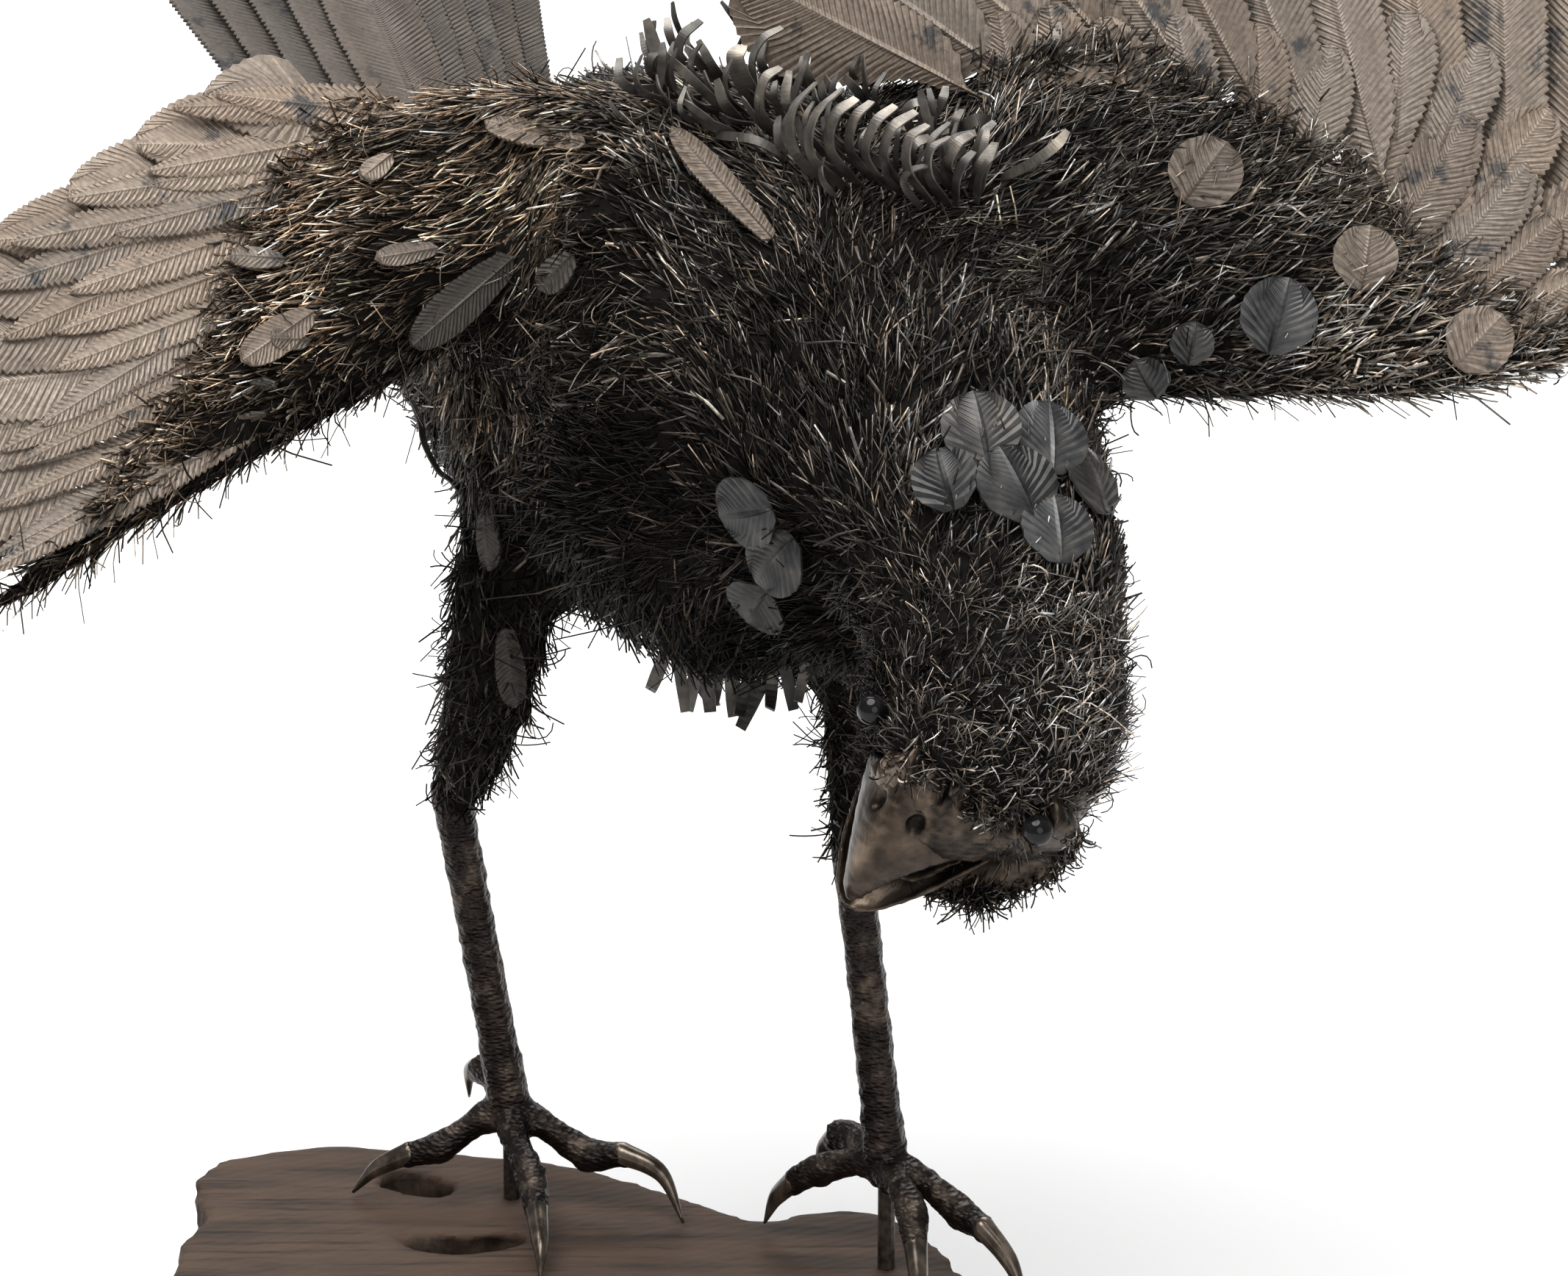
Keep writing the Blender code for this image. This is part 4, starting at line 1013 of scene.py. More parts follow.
def feather_mesh(name, along_places, centres, fronts, backs, top, lead, seed, pitch, tooth, tone):
    """A closed chased sheet: a rib down the middle, slanted barb lines and a comb-cut edge.

    Centres are places down the rib at the given distances, and fronts and backs the widths there.
    """
    rng = np.random.default_rng(seed)
    top = np.array(top)
    lead = np.array(lead)
    start, end = along_places[0], along_places[-1]
    count = max(6, int((end - start) / pitch))
    rib = np.linspace(start, end, count + 1)
    half = sizes().sheet_thickness / 2
    rings = np.empty((count + 1, len(COLUMNS) + 3, 3))
    edges = []
    for widths in (backs, fronts):
        at_rib = np.interp(rib, along_places, widths)
        edge = np.maximum.accumulate(rib + at_rib * BARB_SLANT)
        over = np.maximum(edge - (end - TIP_RUN), 0.0)
        edges.append(np.where(over > 0, end - TIP_RUN * np.exp(-over / TIP_RUN), edge))
    odd = np.arange(count + 1) % 2
    jag = rng.uniform(0.45, 1.25, count + 1)
    rank = np.where(odd == 1, BARB_RISE, -BARB_RISE)
    droop = rng.uniform(0.03, 0.09)
    wear_and_painted_light = np.empty((count + 1, len(COLUMNS) + 3))
    lines = np.empty((count + 1, len(COLUMNS) + 3, 2))
    for column, share in enumerate(COLUMNS):
        edge, widths = (edges[1], fronts) if share > 0 else (edges[0], backs)
        place = rib + (edge - rib) * abs(share)
        wide = np.interp(place, along_places, widths)
        if abs(share) == 1.0:
            wide = np.maximum(wide - odd * tooth * jag * np.clip(wide / 0.006, 0.15, 1), 0.0002)
        centre = np.stack([np.interp(place, along_places, centres[:, axis]) for axis in range(3)], axis=-1)
        height = half - droop * wide * share * share
        if share == 0:
            height = height + np.clip(0.0009 - 0.0006 * (rib - start) / (end - start), 0.0002, 1)
        elif abs(share) < 0.2:
            height = height + 0.0002
        else:
            height = height + rank
        rings[:, column] = centre + lead * (wide * share)[:, None] + top * height[:, None]
        # Odd barb rows stand up and are lighter, even ones lie low and are darker: partly dust, partly
        # painted highlight on the ridges and painted shade in the grooves; the comb-cut edge is lighter with
        # wear, and the rib is lighter.
        wear_and_painted_light[:, column] = np.where(odd == 1, 1.10, 0.76) + 0.12 * (abs(share) == 1.0)
        wear_and_painted_light[:, column] *= np.where(share == 0, 1.25, 1.0)
        lines[:, column] = np.stack([rib, np.full(count + 1, share * 0.02)], axis=-1)
    for column, source in enumerate((len(COLUMNS) - 1, RIB_COLUMN, 0), len(COLUMNS)):
        drop = 2 * half + (KEEL_DEPTH if source == RIB_COLUMN else 0)
        rings[:, column] = rings[:, source] - top * drop
        # The rows under the sheet are a little darker than those on top: painted shade.
        wear_and_painted_light[:, column] = np.where(odd == 1, 0.95, 0.72)
        lines[:, column] = lines[:, source]
    if np.dot(np.cross(lead, top), centres[-1] - centres[0]) < 0:
        rings = rings[:, ::-1]
        wear_and_painted_light = wear_and_painted_light[:, ::-1]
        lines = lines[:, ::-1]
    mesh = prism_mesh(name, rings[None])
    mesh.shade_flat()
    grey = tone * rng.uniform(0.82, 1.14)
    warmth = rng.uniform(-0.03, 0.05)
    shade = grey * (wear_and_painted_light.ravel() + rng.normal(0, 0.05, wear_and_painted_light.size))
    tint(mesh, shade[:, None] * np.array((1 + warmth, 1.0, 1 - warmth)))
    corners = np.empty(len(mesh.loops), np.int32)
    mesh.loops.foreach_get("vertex_index", corners)
    layer = mesh.uv_layers.new(name="vane")
    layer.uv.foreach_set("vector", lines.reshape(-1, 2)[corners].astype(np.float32).ravel())
    return mesh


def node_sections(node, along, lead):
    """A CAD feather's sections, read smoothly at many places: places, centres and both half widths."""
    mesh = frame["nodes"][node].data
    points = np.array([tuple(vertex.co) for vertex in mesh.vertices])
    points = np.unique(np.round(points, 6), axis=0)
    along, lead = np.array(along), np.array(lead)
    places = points @ along
    order = np.argsort(places)
    points, places = points[order], places[order]
    cuts = np.flatnonzero(np.diff(places) > 0.0003) + 1
    rows = []
    for group in np.split(np.arange(len(points)), cuts):
        section = points[group]
        across = section @ lead
        middle = section[np.argsort(across)[len(across) // 2 - 1 : len(across) // 2 + 1]].mean(axis=0)
        at_rib = middle @ lead
        rows.append((places[group].mean(), *middle, across.max() - at_rib, at_rib - across.min()))
    run = np.linspace(rows[0][0], rows[-1][0], 60)
    smooth = spread(rows, run)
    return run, smooth[:, :3], np.maximum(smooth[:, 3], THINNEST), np.maximum(smooth[:, 4], THINNEST)


def flight_frames():
    """Each flight and tail feather's node with its direction, top and leading side."""
    frames = []
    for side, row, fan in (("right", RIGHT_WING, RIGHT_FAN), ("left", LEFT_WING, LEFT_FAN)):
        wing = Wing(*row)
        shares, angles = zip(*fan)
        for i in range(WING_FEATHERS):
            angle = math.radians(np.interp(i / (WING_FEATHERS - 1), shares, angles))
            along = wing.out * math.cos(angle) + wing.back * math.sin(angle)
            lead = wing.top.cross(along) * wing.side
            twisted_lead = lead * math.cos(FLIGHT_TWIST) + wing.top * math.sin(FLIGHT_TWIST)
            twisted_top = wing.top * math.cos(FLIGHT_TWIST) - lead * math.sin(FLIGHT_TWIST)
            frames.append((f"{side}_wing_feather_{i + 1:02d}", along, twisted_top, twisted_lead))
    across = TAIL_ALONG.cross(Vector((0, 0, 1))).normalized()
    top = across.cross(TAIL_ALONG).normalized()
    for i in range(TAIL_FEATHERS):
        turn = (i / (TAIL_FEATHERS - 1) - 0.5) * TAIL_SPREAD
        along = TAIL_ALONG * math.cos(turn) + across * math.sin(turn)
        lead = across * math.cos(turn) - TAIL_ALONG * math.sin(turn)
        frames.append((f"tail_feather_{i + 1:02d}", along, top, lead))
    return frames


class FALCON_OT_flight_feathers(Maker, bpy.types.Operator):
    """Cut and chase the flight feathers and the tail feathers on their nodes' outlines"""

    bl_idname = "falcon.flight_feathers"
    bl_label = "Flight and tail feathers"

    def make(self):
        material = sheet_material()
        for seed, (node, along, top, lead) in enumerate(flight_frames()):
            run, centres, fronts, backs = node_sections(node, along, lead)
            right = node.startswith("right")
            if right and int(node[-2:]) <= SHORT_FEATHERS:
                kept = run < run[0] + SHORT_SHARE * (run[-1] - run[0])
                run, centres, fronts, backs = run[kept], centres[kept], fronts[kept], backs[kept]
            share = (run - run[0]) / (run[-1] - run[0])
            blade = np.interp(share, BLADE_SHARES, BLADE_WIDTHS) if right else 1.0
            tone, spacing = next(look for start, look in FLIGHT_LOOKS.items() if node.startswith(start))
            outline = run, centres, fronts * blade, backs * blade
            pitch, tooth = sizes().barb_pitch * spacing, sizes().tooth_depth
            mesh = feather_mesh(node + "_sheet", *outline, top, lead, seed, pitch, tooth, tone)
            add_piece(node + "_sheet", mesh, material, "feather_sheet", node)


def covert_outline(root, tip, half_width, top, bend, kind):
    """Sections of a covert between two places, as a blade, a spoon or a disc."""
    share = np.linspace(0, 1, 40)
    if kind == "disc":
        wide = np.sqrt(np.clip(1 - (2 * share - 1) ** 2, 0.004, 1))
    elif kind == "spoon":
        wide = np.sqrt(np.clip(1 - ((share - 0.60) / 0.40) ** 2, 0.004, 1))
        wide = np.where(share < 0.60, 0.45 + 0.55 * np.sin(share / 0.60 * math.pi / 2), wide)
    else:
        wide = np.clip(1 - ((share - 0.35) / 0.65) ** 2, 0.004, 1) ** 0.72
        wide = np.where(share < 0.35, 0.75 + 0.25 * np.sin(share / 0.35 * math.pi / 2), wide)
    wide = wide * half_width * MM
    root, tip, top = np.array(root), np.array(tip), np.array(top)
    arch = bend * MM * (share**2 if kind != "disc" else (2 * share - 1) ** 2)
    centres = root + (tip - root) * share[:, None] - top * arch[:, None]
    return share * np.linalg.norm(tip - root), centres, wide, wide


class Cover:
    """What a new covert has to lie on: surfaces that grow as coverts are laid."""

    def __init__(self, names):
        self.points = []
        self.faces = []
        for name in names:
            self.gather(bpy.data.objects[name].data)
        self.tree = BVHTree.FromPolygons(self.points, self.faces)

    def gather(self, mesh):
        start = len(self.points)
        self.points += [vertex.co.copy() for vertex in mesh.vertices]
        self.faces += [[start + corner for corner in face.vertices] for face in mesh.polygons]

    def add(self, mesh):
        self.gather(mesh)
        self.tree = BVHTree.FromPolygons(self.points, self.faces)

    def height(self, point, top):
        """How far over the point the outermost surface lies, or None."""
        hit, _, _, distance = self.tree.ray_cast(point + top * 0.06, -top, 0.12)
        return 0.06 - distance if hit else None

    def settle(self, root, tip, lead, top):
        """Root and tip moved along top until the straight line between them clears everything."""
        found = []
        for share in (0.15, 0.35, 0.55, 0.75, 0.95):
            for side in (-0.7, 0.0, 0.7):
                point = root.lerp(tip, share) + lead * side
                height = self.height(point, top)
                if height is not None:
                    found.append((share, height))
        if not found:
            return root, tip
        near = [height for share, height in found if share < 0.5]
        far = [height for share, height in found if share >= 0.5]
        low = max(near) if near else max(far)
        high = max(far) if far else low
        high = min(high, low + 0.004)
        return root + top * (low - 0.001), tip + top * (high + COVERT_GAP)


def sheet_names(side):
    """The names of the flight feathers of a wing."""
    return [f"{side}_wing_feather_{i + 1:02d}_sheet" for i in range(WING_FEATHERS)]


def lay_coverts(side, wing, rows, material):
    """Lays coverts one over the other on a wing."""
    cover = Cover(sheet_names(side))
    kind, tone, spacing = COVERT_LOOKS[side]
    for i, (root_pixel, tip_pixel, half_width) in enumerate(rows):
        root, tip = wing.under_pixel(root_pixel), wing.under_pixel(tip_pixel)
        along = (tip - root).normalized()
        lead = wing.top.cross(along).normalized() * wing.side
        root, tip = cover.settle(root, tip, lead * half_width * MM, wing.top)
        top = (wing.top * math.cos(COVERT_SLOPE) - lead * math.sin(COVERT_SLOPE)).normalized()
        along = (tip - root).normalized()
        top = square(top, along)
        lead = top.cross(along).normalized() * wing.side
        outline = covert_outline(root, tip, half_width, top, 1.5, kind)
        name = f"{side}_covert_{i + 1:02d}"
        pitch, tooth = sizes().barb_pitch * spacing, sizes().tooth_depth * 1.1
        mesh = feather_mesh(name, *outline, top, lead, 300 + i, pitch, tooth, tone)
        add_piece(name, mesh, material, "feather_sheet")
        cover.add(mesh)


class FALCON_OT_coverts(Maker, bpy.types.Operator):
    """Lay the smaller feathers over the bases of the flight feathers"""

    bl_idname = "falcon.coverts"
    bl_label = "Coverts"

    def make(self):
        material = bpy.data.materials["chased_sheet"]
        lay_coverts("right", Wing(*RIGHT_WING), RIGHT_COVERTS, material)
        lay_coverts("left", Wing(*LEFT_WING), LEFT_COVERTS, material)


def figure_tree():
    """The figure's outer skin as the CAD has it, to cast rays at."""
    mesh = frame["nodes"]["falcon_figure"].data
    return BVHTree.FromPolygons(
        [vertex.co for vertex in mesh.vertices], [face.vertices for face in mesh.polygons]
    )


def on_figure(tree, pixel):
    """The place and normal on the figure that a pixel shows, or the nearest ones beside it."""
    eye, ray = photo_ray(*pixel)
    hit, normal, _, _ = tree.ray_cast(eye, ray)
    if hit:
        return hit, normal
    hit, normal, _, _ = tree.find_nearest(eye + ray * (TARGET - eye).length)
    return hit, normal


class FALCON_OT_leaves(Maker, bpy.types.Operator):
    """Set the small leaf-shaped feathers that lie bare among the wires"""

    bl_idname = "falcon.leaves"
    bl_label = "Leaf feathers"

    def make(self):
        material = bpy.data.materials["chased_sheet"]
        tree = figure_tree()
        for i, (root_pixel, tip_pixel, half_width, tone) in enumerate(LEAVES):
            root, root_normal = on_figure(tree, root_pixel)
            tip, tip_normal = on_figure(tree, tip_pixel)
            top = (root_normal + tip_normal).normalized()
            root = root - top * 0.0022
            tip = tip + top * 0.0012
            along = (tip - root).normalized()
            top = square(top, along)
            lead = top.cross(along)
            name = f"leaf_feather_{i + 1:02d}"
            outline = covert_outline(root, tip, half_width, top, 0.5, "spoon")
            mesh = feather_mesh(name, *outline, top, lead, 500 + i, sizes().barb_pitch * 0.7, 0.0004, tone)
            add_piece(name, mesh, material, "feather_sheet")


class FALCON_OT_discs(Maker, bpy.types.Operator):
    """Set the chased discs on the neck, the breast and the left wing"""

    bl_idname = "falcon.discs"
    bl_label = "Chased discs"

    def make(self):
        tree = figure_tree()
        sheet, steel = bpy.data.materials["chased_sheet"], ribbon_material()
        rng = np.random.default_rng(41)
        toward = Vector((0, -math.cos(sizes().camera_tilt), math.sin(sizes().camera_tilt)))
        for i, (pixel, radius, degrees, tone) in enumerate(DISCS):
            place, normal = on_figure(tree, pixel)
            face = (normal * 0.8 + toward * 0.2 + Vector(rng.normal(0, 0.08, 3))).normalized()
            across = toward.cross(Vector((0, 0, 1)))
            turn = math.radians(degrees)
            along = Vector((0, 0, 1)) * math.sin(turn) - across * math.cos(turn)
            along = square(along, face)
            middle = place - face * 0.0002
            reach = along * radius * MM
            outline = covert_outline(middle - reach, middle + reach, radius, face, 1.3, "disc")
            name = f"disc_{i + 1:02d}"
            dusty = tone > DUSTY_FROM
            shade = tone if dusty else tone * STEEL_SHARE
            mesh = feather_mesh(name, *outline, face, face.cross(along), 700 + i, 0.0008, 0.0003, shade)
            add_piece(name, mesh, sheet if dusty else steel, "feather_sheet")


# Wire coat

# How fast a guide's hold on the wires falls off, then for each wing how far out its guides stand,
# how much they sweep back, and the lift, length and scatter of its wires
GUIDE_POWER = 4
WING_GUIDES = (
    ("right_wing", RIGHT_WING, (-40, -10, 20, 50, 85, 120, 155), 0.16, (6, 10, 9)),
    ("left_wing", LEFT_WING, (-25, 5, 35, 60, 85, 110, 140), 0.55, (11, 10, 18)),
)
EDGE_LAY = (9, 7.5, 24)
# The share of wires that shine, and how much brighter they are
BRIGHT_WIRES = 0.10
BRIGHTER = 3.0


def coat_guides():
    """Arrays of the coat's guides: place, direction, lift, length, scatter and colour, and their parts."""
    rows = [("body", *row) for row in BODY_COAT]
    rows += [("head", *row) for row in HEAD_COAT]
    rows += [("legs", *row) for row in LEG_COAT]
    for part, frame_row, reaches, sweep, lay in WING_GUIDES:
        wing = Wing(*frame_row)
        for outward in reaches:
            for back in (0, 30, 60) if outward < 60 else (-4, 20):
                place = (wing.start + (wing.out * outward + wing.back * back + wing.top * 12) * MM) / MM
                way = wing.out + wing.back * (sweep if part == "right_wing" else sweep * (1 + back / 60))
                shade = WARM if part == "right_wing" else DUSTY if outward > 20 else STEEL
                name, lies = part, lay
                if back < 10:
                    name, shade, lies = "edges", DARK, EDGE_LAY
                    way = wing.out - wing.back * 0.35
                row = (place.x, place.y, place.z - SLAB_TOP / MM)
                rows.append((name, row, tuple(way), *lies, shade))
    parts = [row[0] for row in rows]
    table = np.array([(*row[1], *row[2], row[3], row[4], row[5], *row[6]) for row in rows], float)
    table[:, :3] *= MM
    table[:, 2] += SLAB_TOP
    return parts, table


def skin_samples(obj, count, rng):
    """Random places and normals over an object, closer on the side that faces the camera."""
    points, normals = point_arrays(obj)
    mesh = obj.data
    mesh.calc_loop_triangles()
    corners = np.empty(len(mesh.loop_triangles) * 3, np.int32)
    mesh.loop_triangles.foreach_get("vertices", corners)
    corners = corners.reshape(-1, 3)
    edges = points[corners]
    cross = np.cross(edges[:, 1] - edges[:, 0], edges[:, 2] - edges[:, 0])
    area = np.linalg.norm(cross, axis=1)
    facing = unit(cross) @ np.array((0, -math.cos(sizes().camera_tilt), math.sin(sizes().camera_tilt)))
    weight = area * np.where(facing > -0.15, 2.5, 1.0)
    chosen = rng.choice(len(corners), count, p=weight / weight.sum())
    share = np.sqrt(rng.random(count))[:, None]
    other = rng.random(count)[:, None]
    a, b, c = (corners[chosen][:, i] for i in range(3))
    places = points[a] * (1 - share) + points[b] * (share * (1 - other)) + points[c] * (share * other)
    ways = normals[a] * (1 - share) + normals[b] * (share * (1 - other)) + normals[c] * (share * other)
    return places, unit(ways)


def guided(places, table):
    """The guides' values at each place, weighted by nearness, and the nearest guide."""
    values = np.empty((len(places), table.shape[1] - 3))
    nearest = np.empty(len(places), int)
    for start in range(0, len(places), 8000):
        part = places[start : start + 8000]
        distance = np.linalg.norm(part[:, None] - table[None, :, :3], axis=-1) + 0.004
        weight = distance**-GUIDE_POWER
        weight /= weight.sum(axis=1, keepdims=True)
        values[start : start + 8000] = weight @ table[:, 3:]
        nearest[start : start + 8000] = distance.argmin(axis=1)
    return values, nearest


def turned(ways, axes, angles):
    """Vectors turned about axes they are square to."""
    return ways * np.cos(angles)[:, None] + np.cross(axes, ways) * np.sin(angles)[:, None]


def head_place(places):
    """Places read in the head's own frame, in millimetres."""
    centre, ahead, left, up = head_axes()
    apart = (places - np.array(centre)) / MM
    return np.column_stack([apart @ np.array(ahead), apart @ np.array(left), apart @ np.array(up)])


def eye_spots():
    """The centres of the two eyes."""
    centre, ahead, left, up = head_axes()
    forward, aside, rise = EYE_PLACE
    return [centre + (ahead * forward + left * aside * side + up * rise) * MM for side in (1, -1)]


def bare_margin(places):
    """How many millimetres each place lies inside the bronze of the face, below zero outside it."""
    ahead, left, up = head_place(places).T
    side = np.abs(left)
    wobble = 1.3 * np.sin(left * 0.8) + 0.9 * np.sin(up * 1.3 + left)
    limits = (60, 40, 22, 18, 18.6, 17.6, 16.4, 15.4, 6.0, 4.0)
    above = np.interp(left, (-40, -21, -17, -12, 0, 14, 21, 24.5, 27, 40), limits)
    below = np.interp(up, (-26, -22.5, -15), (60, 24, 4))
    margin = ahead - np.maximum(above, below) - wobble
    return np.where((side < 40) & (np.abs(up) < 40) & (ahead < 60), margin, -40.0)


def bare_face(places):
    """The share of wires left out at each place: all on the bronze, most on the cheeks, else none."""
    _, left, up = head_place(places).T
    margin = bare_margin(places)
    cheek = (margin > -9) & (left > 22) & (up < 12) & (up > -14)
    share = np.where(margin > 0, 1.0, np.where(cheek, 0.55, 0.0))
    for eye, reach in zip(eye_spots(), (0.0046, 0.0014)):
        share[np.linalg.norm(places - np.array(eye), axis=1) < reach] = 1.0
    return share


def bare_spots():
    """The leaves and discs that lie on the coat, as lines with a half width that no wire may cross."""
    tree = figure_tree()
    spots = []
    for root_pixel, tip_pixel, half_width, _ in LEAVES:
        root, tip = on_figure(tree, root_pixel)[0], on_figure(tree, tip_pixel)[0]
        spots.append((root.lerp(tip, 0.30), root.lerp(tip, 0.92), half_width * 0.6))
    for pixel, radius, _, _ in DISCS:
        place = on_figure(tree, pixel)[0]
        spots.append((place, place, radius * 0.74))
    return spots


def clear_of_spots(places):
    """Whether each place lies outside every bare spot."""
    clear = np.ones(len(places), bool)
    for start, end, reach in bare_spots():
        start, end = np.array(start), np.array(end)
        run = end - start
        share = np.clip((places - start) @ run / max(run @ run, 1e-9), 0, 1)
        clear &= np.linalg.norm(places - start - share[:, None] * run, axis=1) > reach * MM
    return clear


def strand_rings(roots, ways, normals, length, width, thick, steps, sides, bend, sway):
    """Rings of wires that start at roots and bend towards the surface and to one side."""
    across = unit(np.cross(ways, normals))
    rings = np.empty((len(roots), steps, sides, 3))
    turn = np.arange(sides) * 2 * math.pi / sides + math.pi / sides
    for step in range(steps):
        share = step / (steps - 1)
        dip, drift = (bend * share * share)[:, None], (sway * share * share)[:, None]
        centre = roots + length[:, None] * (ways * share + normals * dip + across * drift)
        along = unit(ways + normals * (2 * bend * share)[:, None] + across * (2 * sway * share)[:, None])
        wide = unit(np.cross(along, normals))
        over = np.cross(along, wide)
        taper = 1.0 - 0.25 * share
        for corner in range(sides):
            rings[:, step, corner] = (
                centre
                + wide * (width * taper * math.cos(turn[corner]))[:, None]
                + over * (thick * taper * math.sin(turn[corner]))[:, None]
            )
    return rings


def wire_shades(base, rng):
    """A tone for each wire about the guides' colours, with a few bright and many dark ones."""
    level = rng.lognormal(-0.50, 0.90, len(base))
    level = np.where(rng.random(len(base)) < BRIGHT_WIRES, level * BRIGHTER, level)
    warmth = rng.normal(0.02, 0.07, len(base))
    hue = np.column_stack([1 + warmth, np.ones(len(base)), 1 - warmth])
    return np.clip(base * level[:, None] * hue, 0.002, 0.6)


class FALCON_OT_backing(Maker, bpy.types.Operator):
    """Shrink the figure's skin to make the backing that the wires grow from"""

    bl_idname = "falcon.backing"
    bl_label = "Backing"

    def make(self):
        obj = copy_of_node("falcon_figure", "coat_backing")
        apply_modifier(obj, "REMESH", mode="VOXEL", voxel_size=sizes().backing_voxel)
        apply_modifier(obj, "SMOOTH", iterations=4, factor=0.5)
        points, _ = point_arrays(obj)
        shift_points(obj, -sizes().coat_depth + 0.0005 * ripple(points, 0.018, 3))
        dress(obj, painted_shade_backing_material(), "dark_wire", "falcon_figure")


class FALCON_OT_wire_coat(Maker, bpy.types.Operator):
    """Cover the backing with cut wires that lie along the body, the wings, the head and the legs"""

    bl_idname = "falcon.wire_coat"
    bl_label = "Wire coat"

    def make(self):
        size = sizes()
        rng = np.random.default_rng(7)
        material = wire_material()
        parts, table = coat_guides()
        places, normals = skin_samples(bpy.data.objects["coat_backing"], size.strand_count, rng)
        keep = (rng.random(len(places)) > bare_face(places)) & clear_of_spots(places)
        places, normals = places[keep], normals[keep]
        values, nearest = guided(places, table)
        recipe = np.array([PART_WIRES[parts[near]] for near in nearest])
        keep = rng.random(len(places)) < recipe[:, 6]
        places, normals, values, recipe = places[keep], normals[keep], values[keep], recipe[keep]
        names = np.array(parts)[nearest[keep]]
        flow = values[:, :3] - normals * (values[:, :3] * normals).sum(axis=1, keepdims=True)
        count = len(places)
        scatter = np.radians(values[:, 5])
        swirl = ripple(places, 0.060, 11, 2) * 0.9 + ripple(places, 0.014, 12, 1) * 0.7
        flow = turned(unit(flow), normals, (swirl + rng.normal(0, 1, count)) * scatter)
        lift = np.radians(values[:, 3]) * rng.uniform(0.3, 1.5, count)
        lift = np.where(rng.random(count) < recipe[:, 5], lift * 2.4, lift)
        ways = flow * np.cos(lift)[:, None] + normals * np.sin(lift)[:, None]
        length = values[:, 4] * MM * rng.uniform(0.62, 1.2, count)
        width = size.strand_width / 2 * rng.uniform(0.7, 1.4, count) * recipe[:, 4]
        shades = wire_shades(values[:, 6:9], rng)
        shades *= np.clip(1 + 0.45 * ripple(places, 0.034, 21, 3), 0.25, 2.0)[:, None]
        upper = np.cumsum(recipe[:, :4], axis=1)
        kind = (rng.random(count)[:, None] > upper[:, :3]).sum(axis=1)
        for part in PART_WIRES:
            for shape, (label, steps, sides) in enumerate(WIRE_SHAPES):
                pick = (kind == shape) & (names == part)
                number = int(pick.sum())
                flat = label == "flat"
                wave = 0.75 if label == "curly" else 0.20
                rings = strand_rings(
                    places[pick],
                    ways[pick],
                    normals[pick],
                    length[pick],
                    width[pick] * (2.3 if flat else 1.15),
                    width[pick] * (0.5 if flat else 1.15),
                    steps,
                    sides,
                    rng.uniform(-1.3 * wave, wave, number),
                    rng.normal(0, wave, number),
                )
                name = f"coat_{part}_{label}"
                mesh = prism_mesh(name, rings)
                tint(mesh, np.repeat(shades[pick], steps * sides, axis=0))
                add_piece(name, mesh, material, "dark_wire")


def seam_samples(pixels, names, reach, count, rng):
    """Places and normals in a band along a line of pixels, on the outermost of some surfaces."""
    cover = Cover(names)
    route = np.array(pixels, float)
    run = np.concatenate([[0], np.cumsum(np.linalg.norm(np.diff(route, axis=0), axis=1))])
    found = []
    for _ in range(count):
        at = rng.uniform(0, run[-1])
        spot = [np.interp(at, run, route[:, axis]) for axis in range(2)] + rng.normal(0, reach, 2)
        eye, ray = photo_ray(*spot)
        hit, normal, _, _ = cover.tree.ray_cast(eye, ray)
        if hit:
            found.append((*hit, *(normal if normal.dot(ray) < 0 else -normal)))
    found = np.array(found).reshape(-1, 6)
    return found[:, :3], found[:, 3:]


class FALCON_OT_seams(Maker, bpy.types.Operator):
    """Lay wires over the roots of the coverts, where the coat ends"""

    bl_idname = "falcon.seams"
    bl_label = "Coat seams"

    def make(self):
        rng = np.random.default_rng(67)
        _, table = coat_guides()
        for side, pixels, number in (("right", RIGHT_SEAM, 1500), ("left", LEFT_SEAM, 1900)):
            names = ["coat_backing"]
            names += [obj.name for obj in bpy.data.objects if obj.name.startswith(f"{side}_covert_")]
            names += sheet_names(side)
            places, normals = seam_samples(pixels, names, 16, number, rng)
            values, _ = guided(places, table)
            flow = unit(values[:, :3] - normals * (values[:, :3] * normals).sum(axis=1, keepdims=True))
            count = len(places)
            flow = turned(flow, normals, rng.normal(0, 0.30, count))
            lift = rng.uniform(0.05, 0.40, count)
            ways = flow * np.cos(lift)[:, None] + normals * np.sin(lift)[:, None]
            length = rng.uniform(0.006, 0.012, count)
            width = sizes().strand_width / 2 * rng.uniform(0.8, 1.5, count)
            rings = strand_rings(
                places - normals * 0.0006 - ways * 0.003, ways, normals, length, width, width, 3, 3,
                rng.uniform(-0.25, 0.2, count), rng.normal(0, 0.2, count),
            )
            name = f"seam_wires_{side}"
            mesh = prism_mesh(name, rings)
            tint(mesh, np.repeat(wire_shades(values[:, 6:9] * 0.8, rng), 9, axis=0))
            add_piece(name, mesh, bpy.data.materials["oxidised_wire"], "dark_wire")


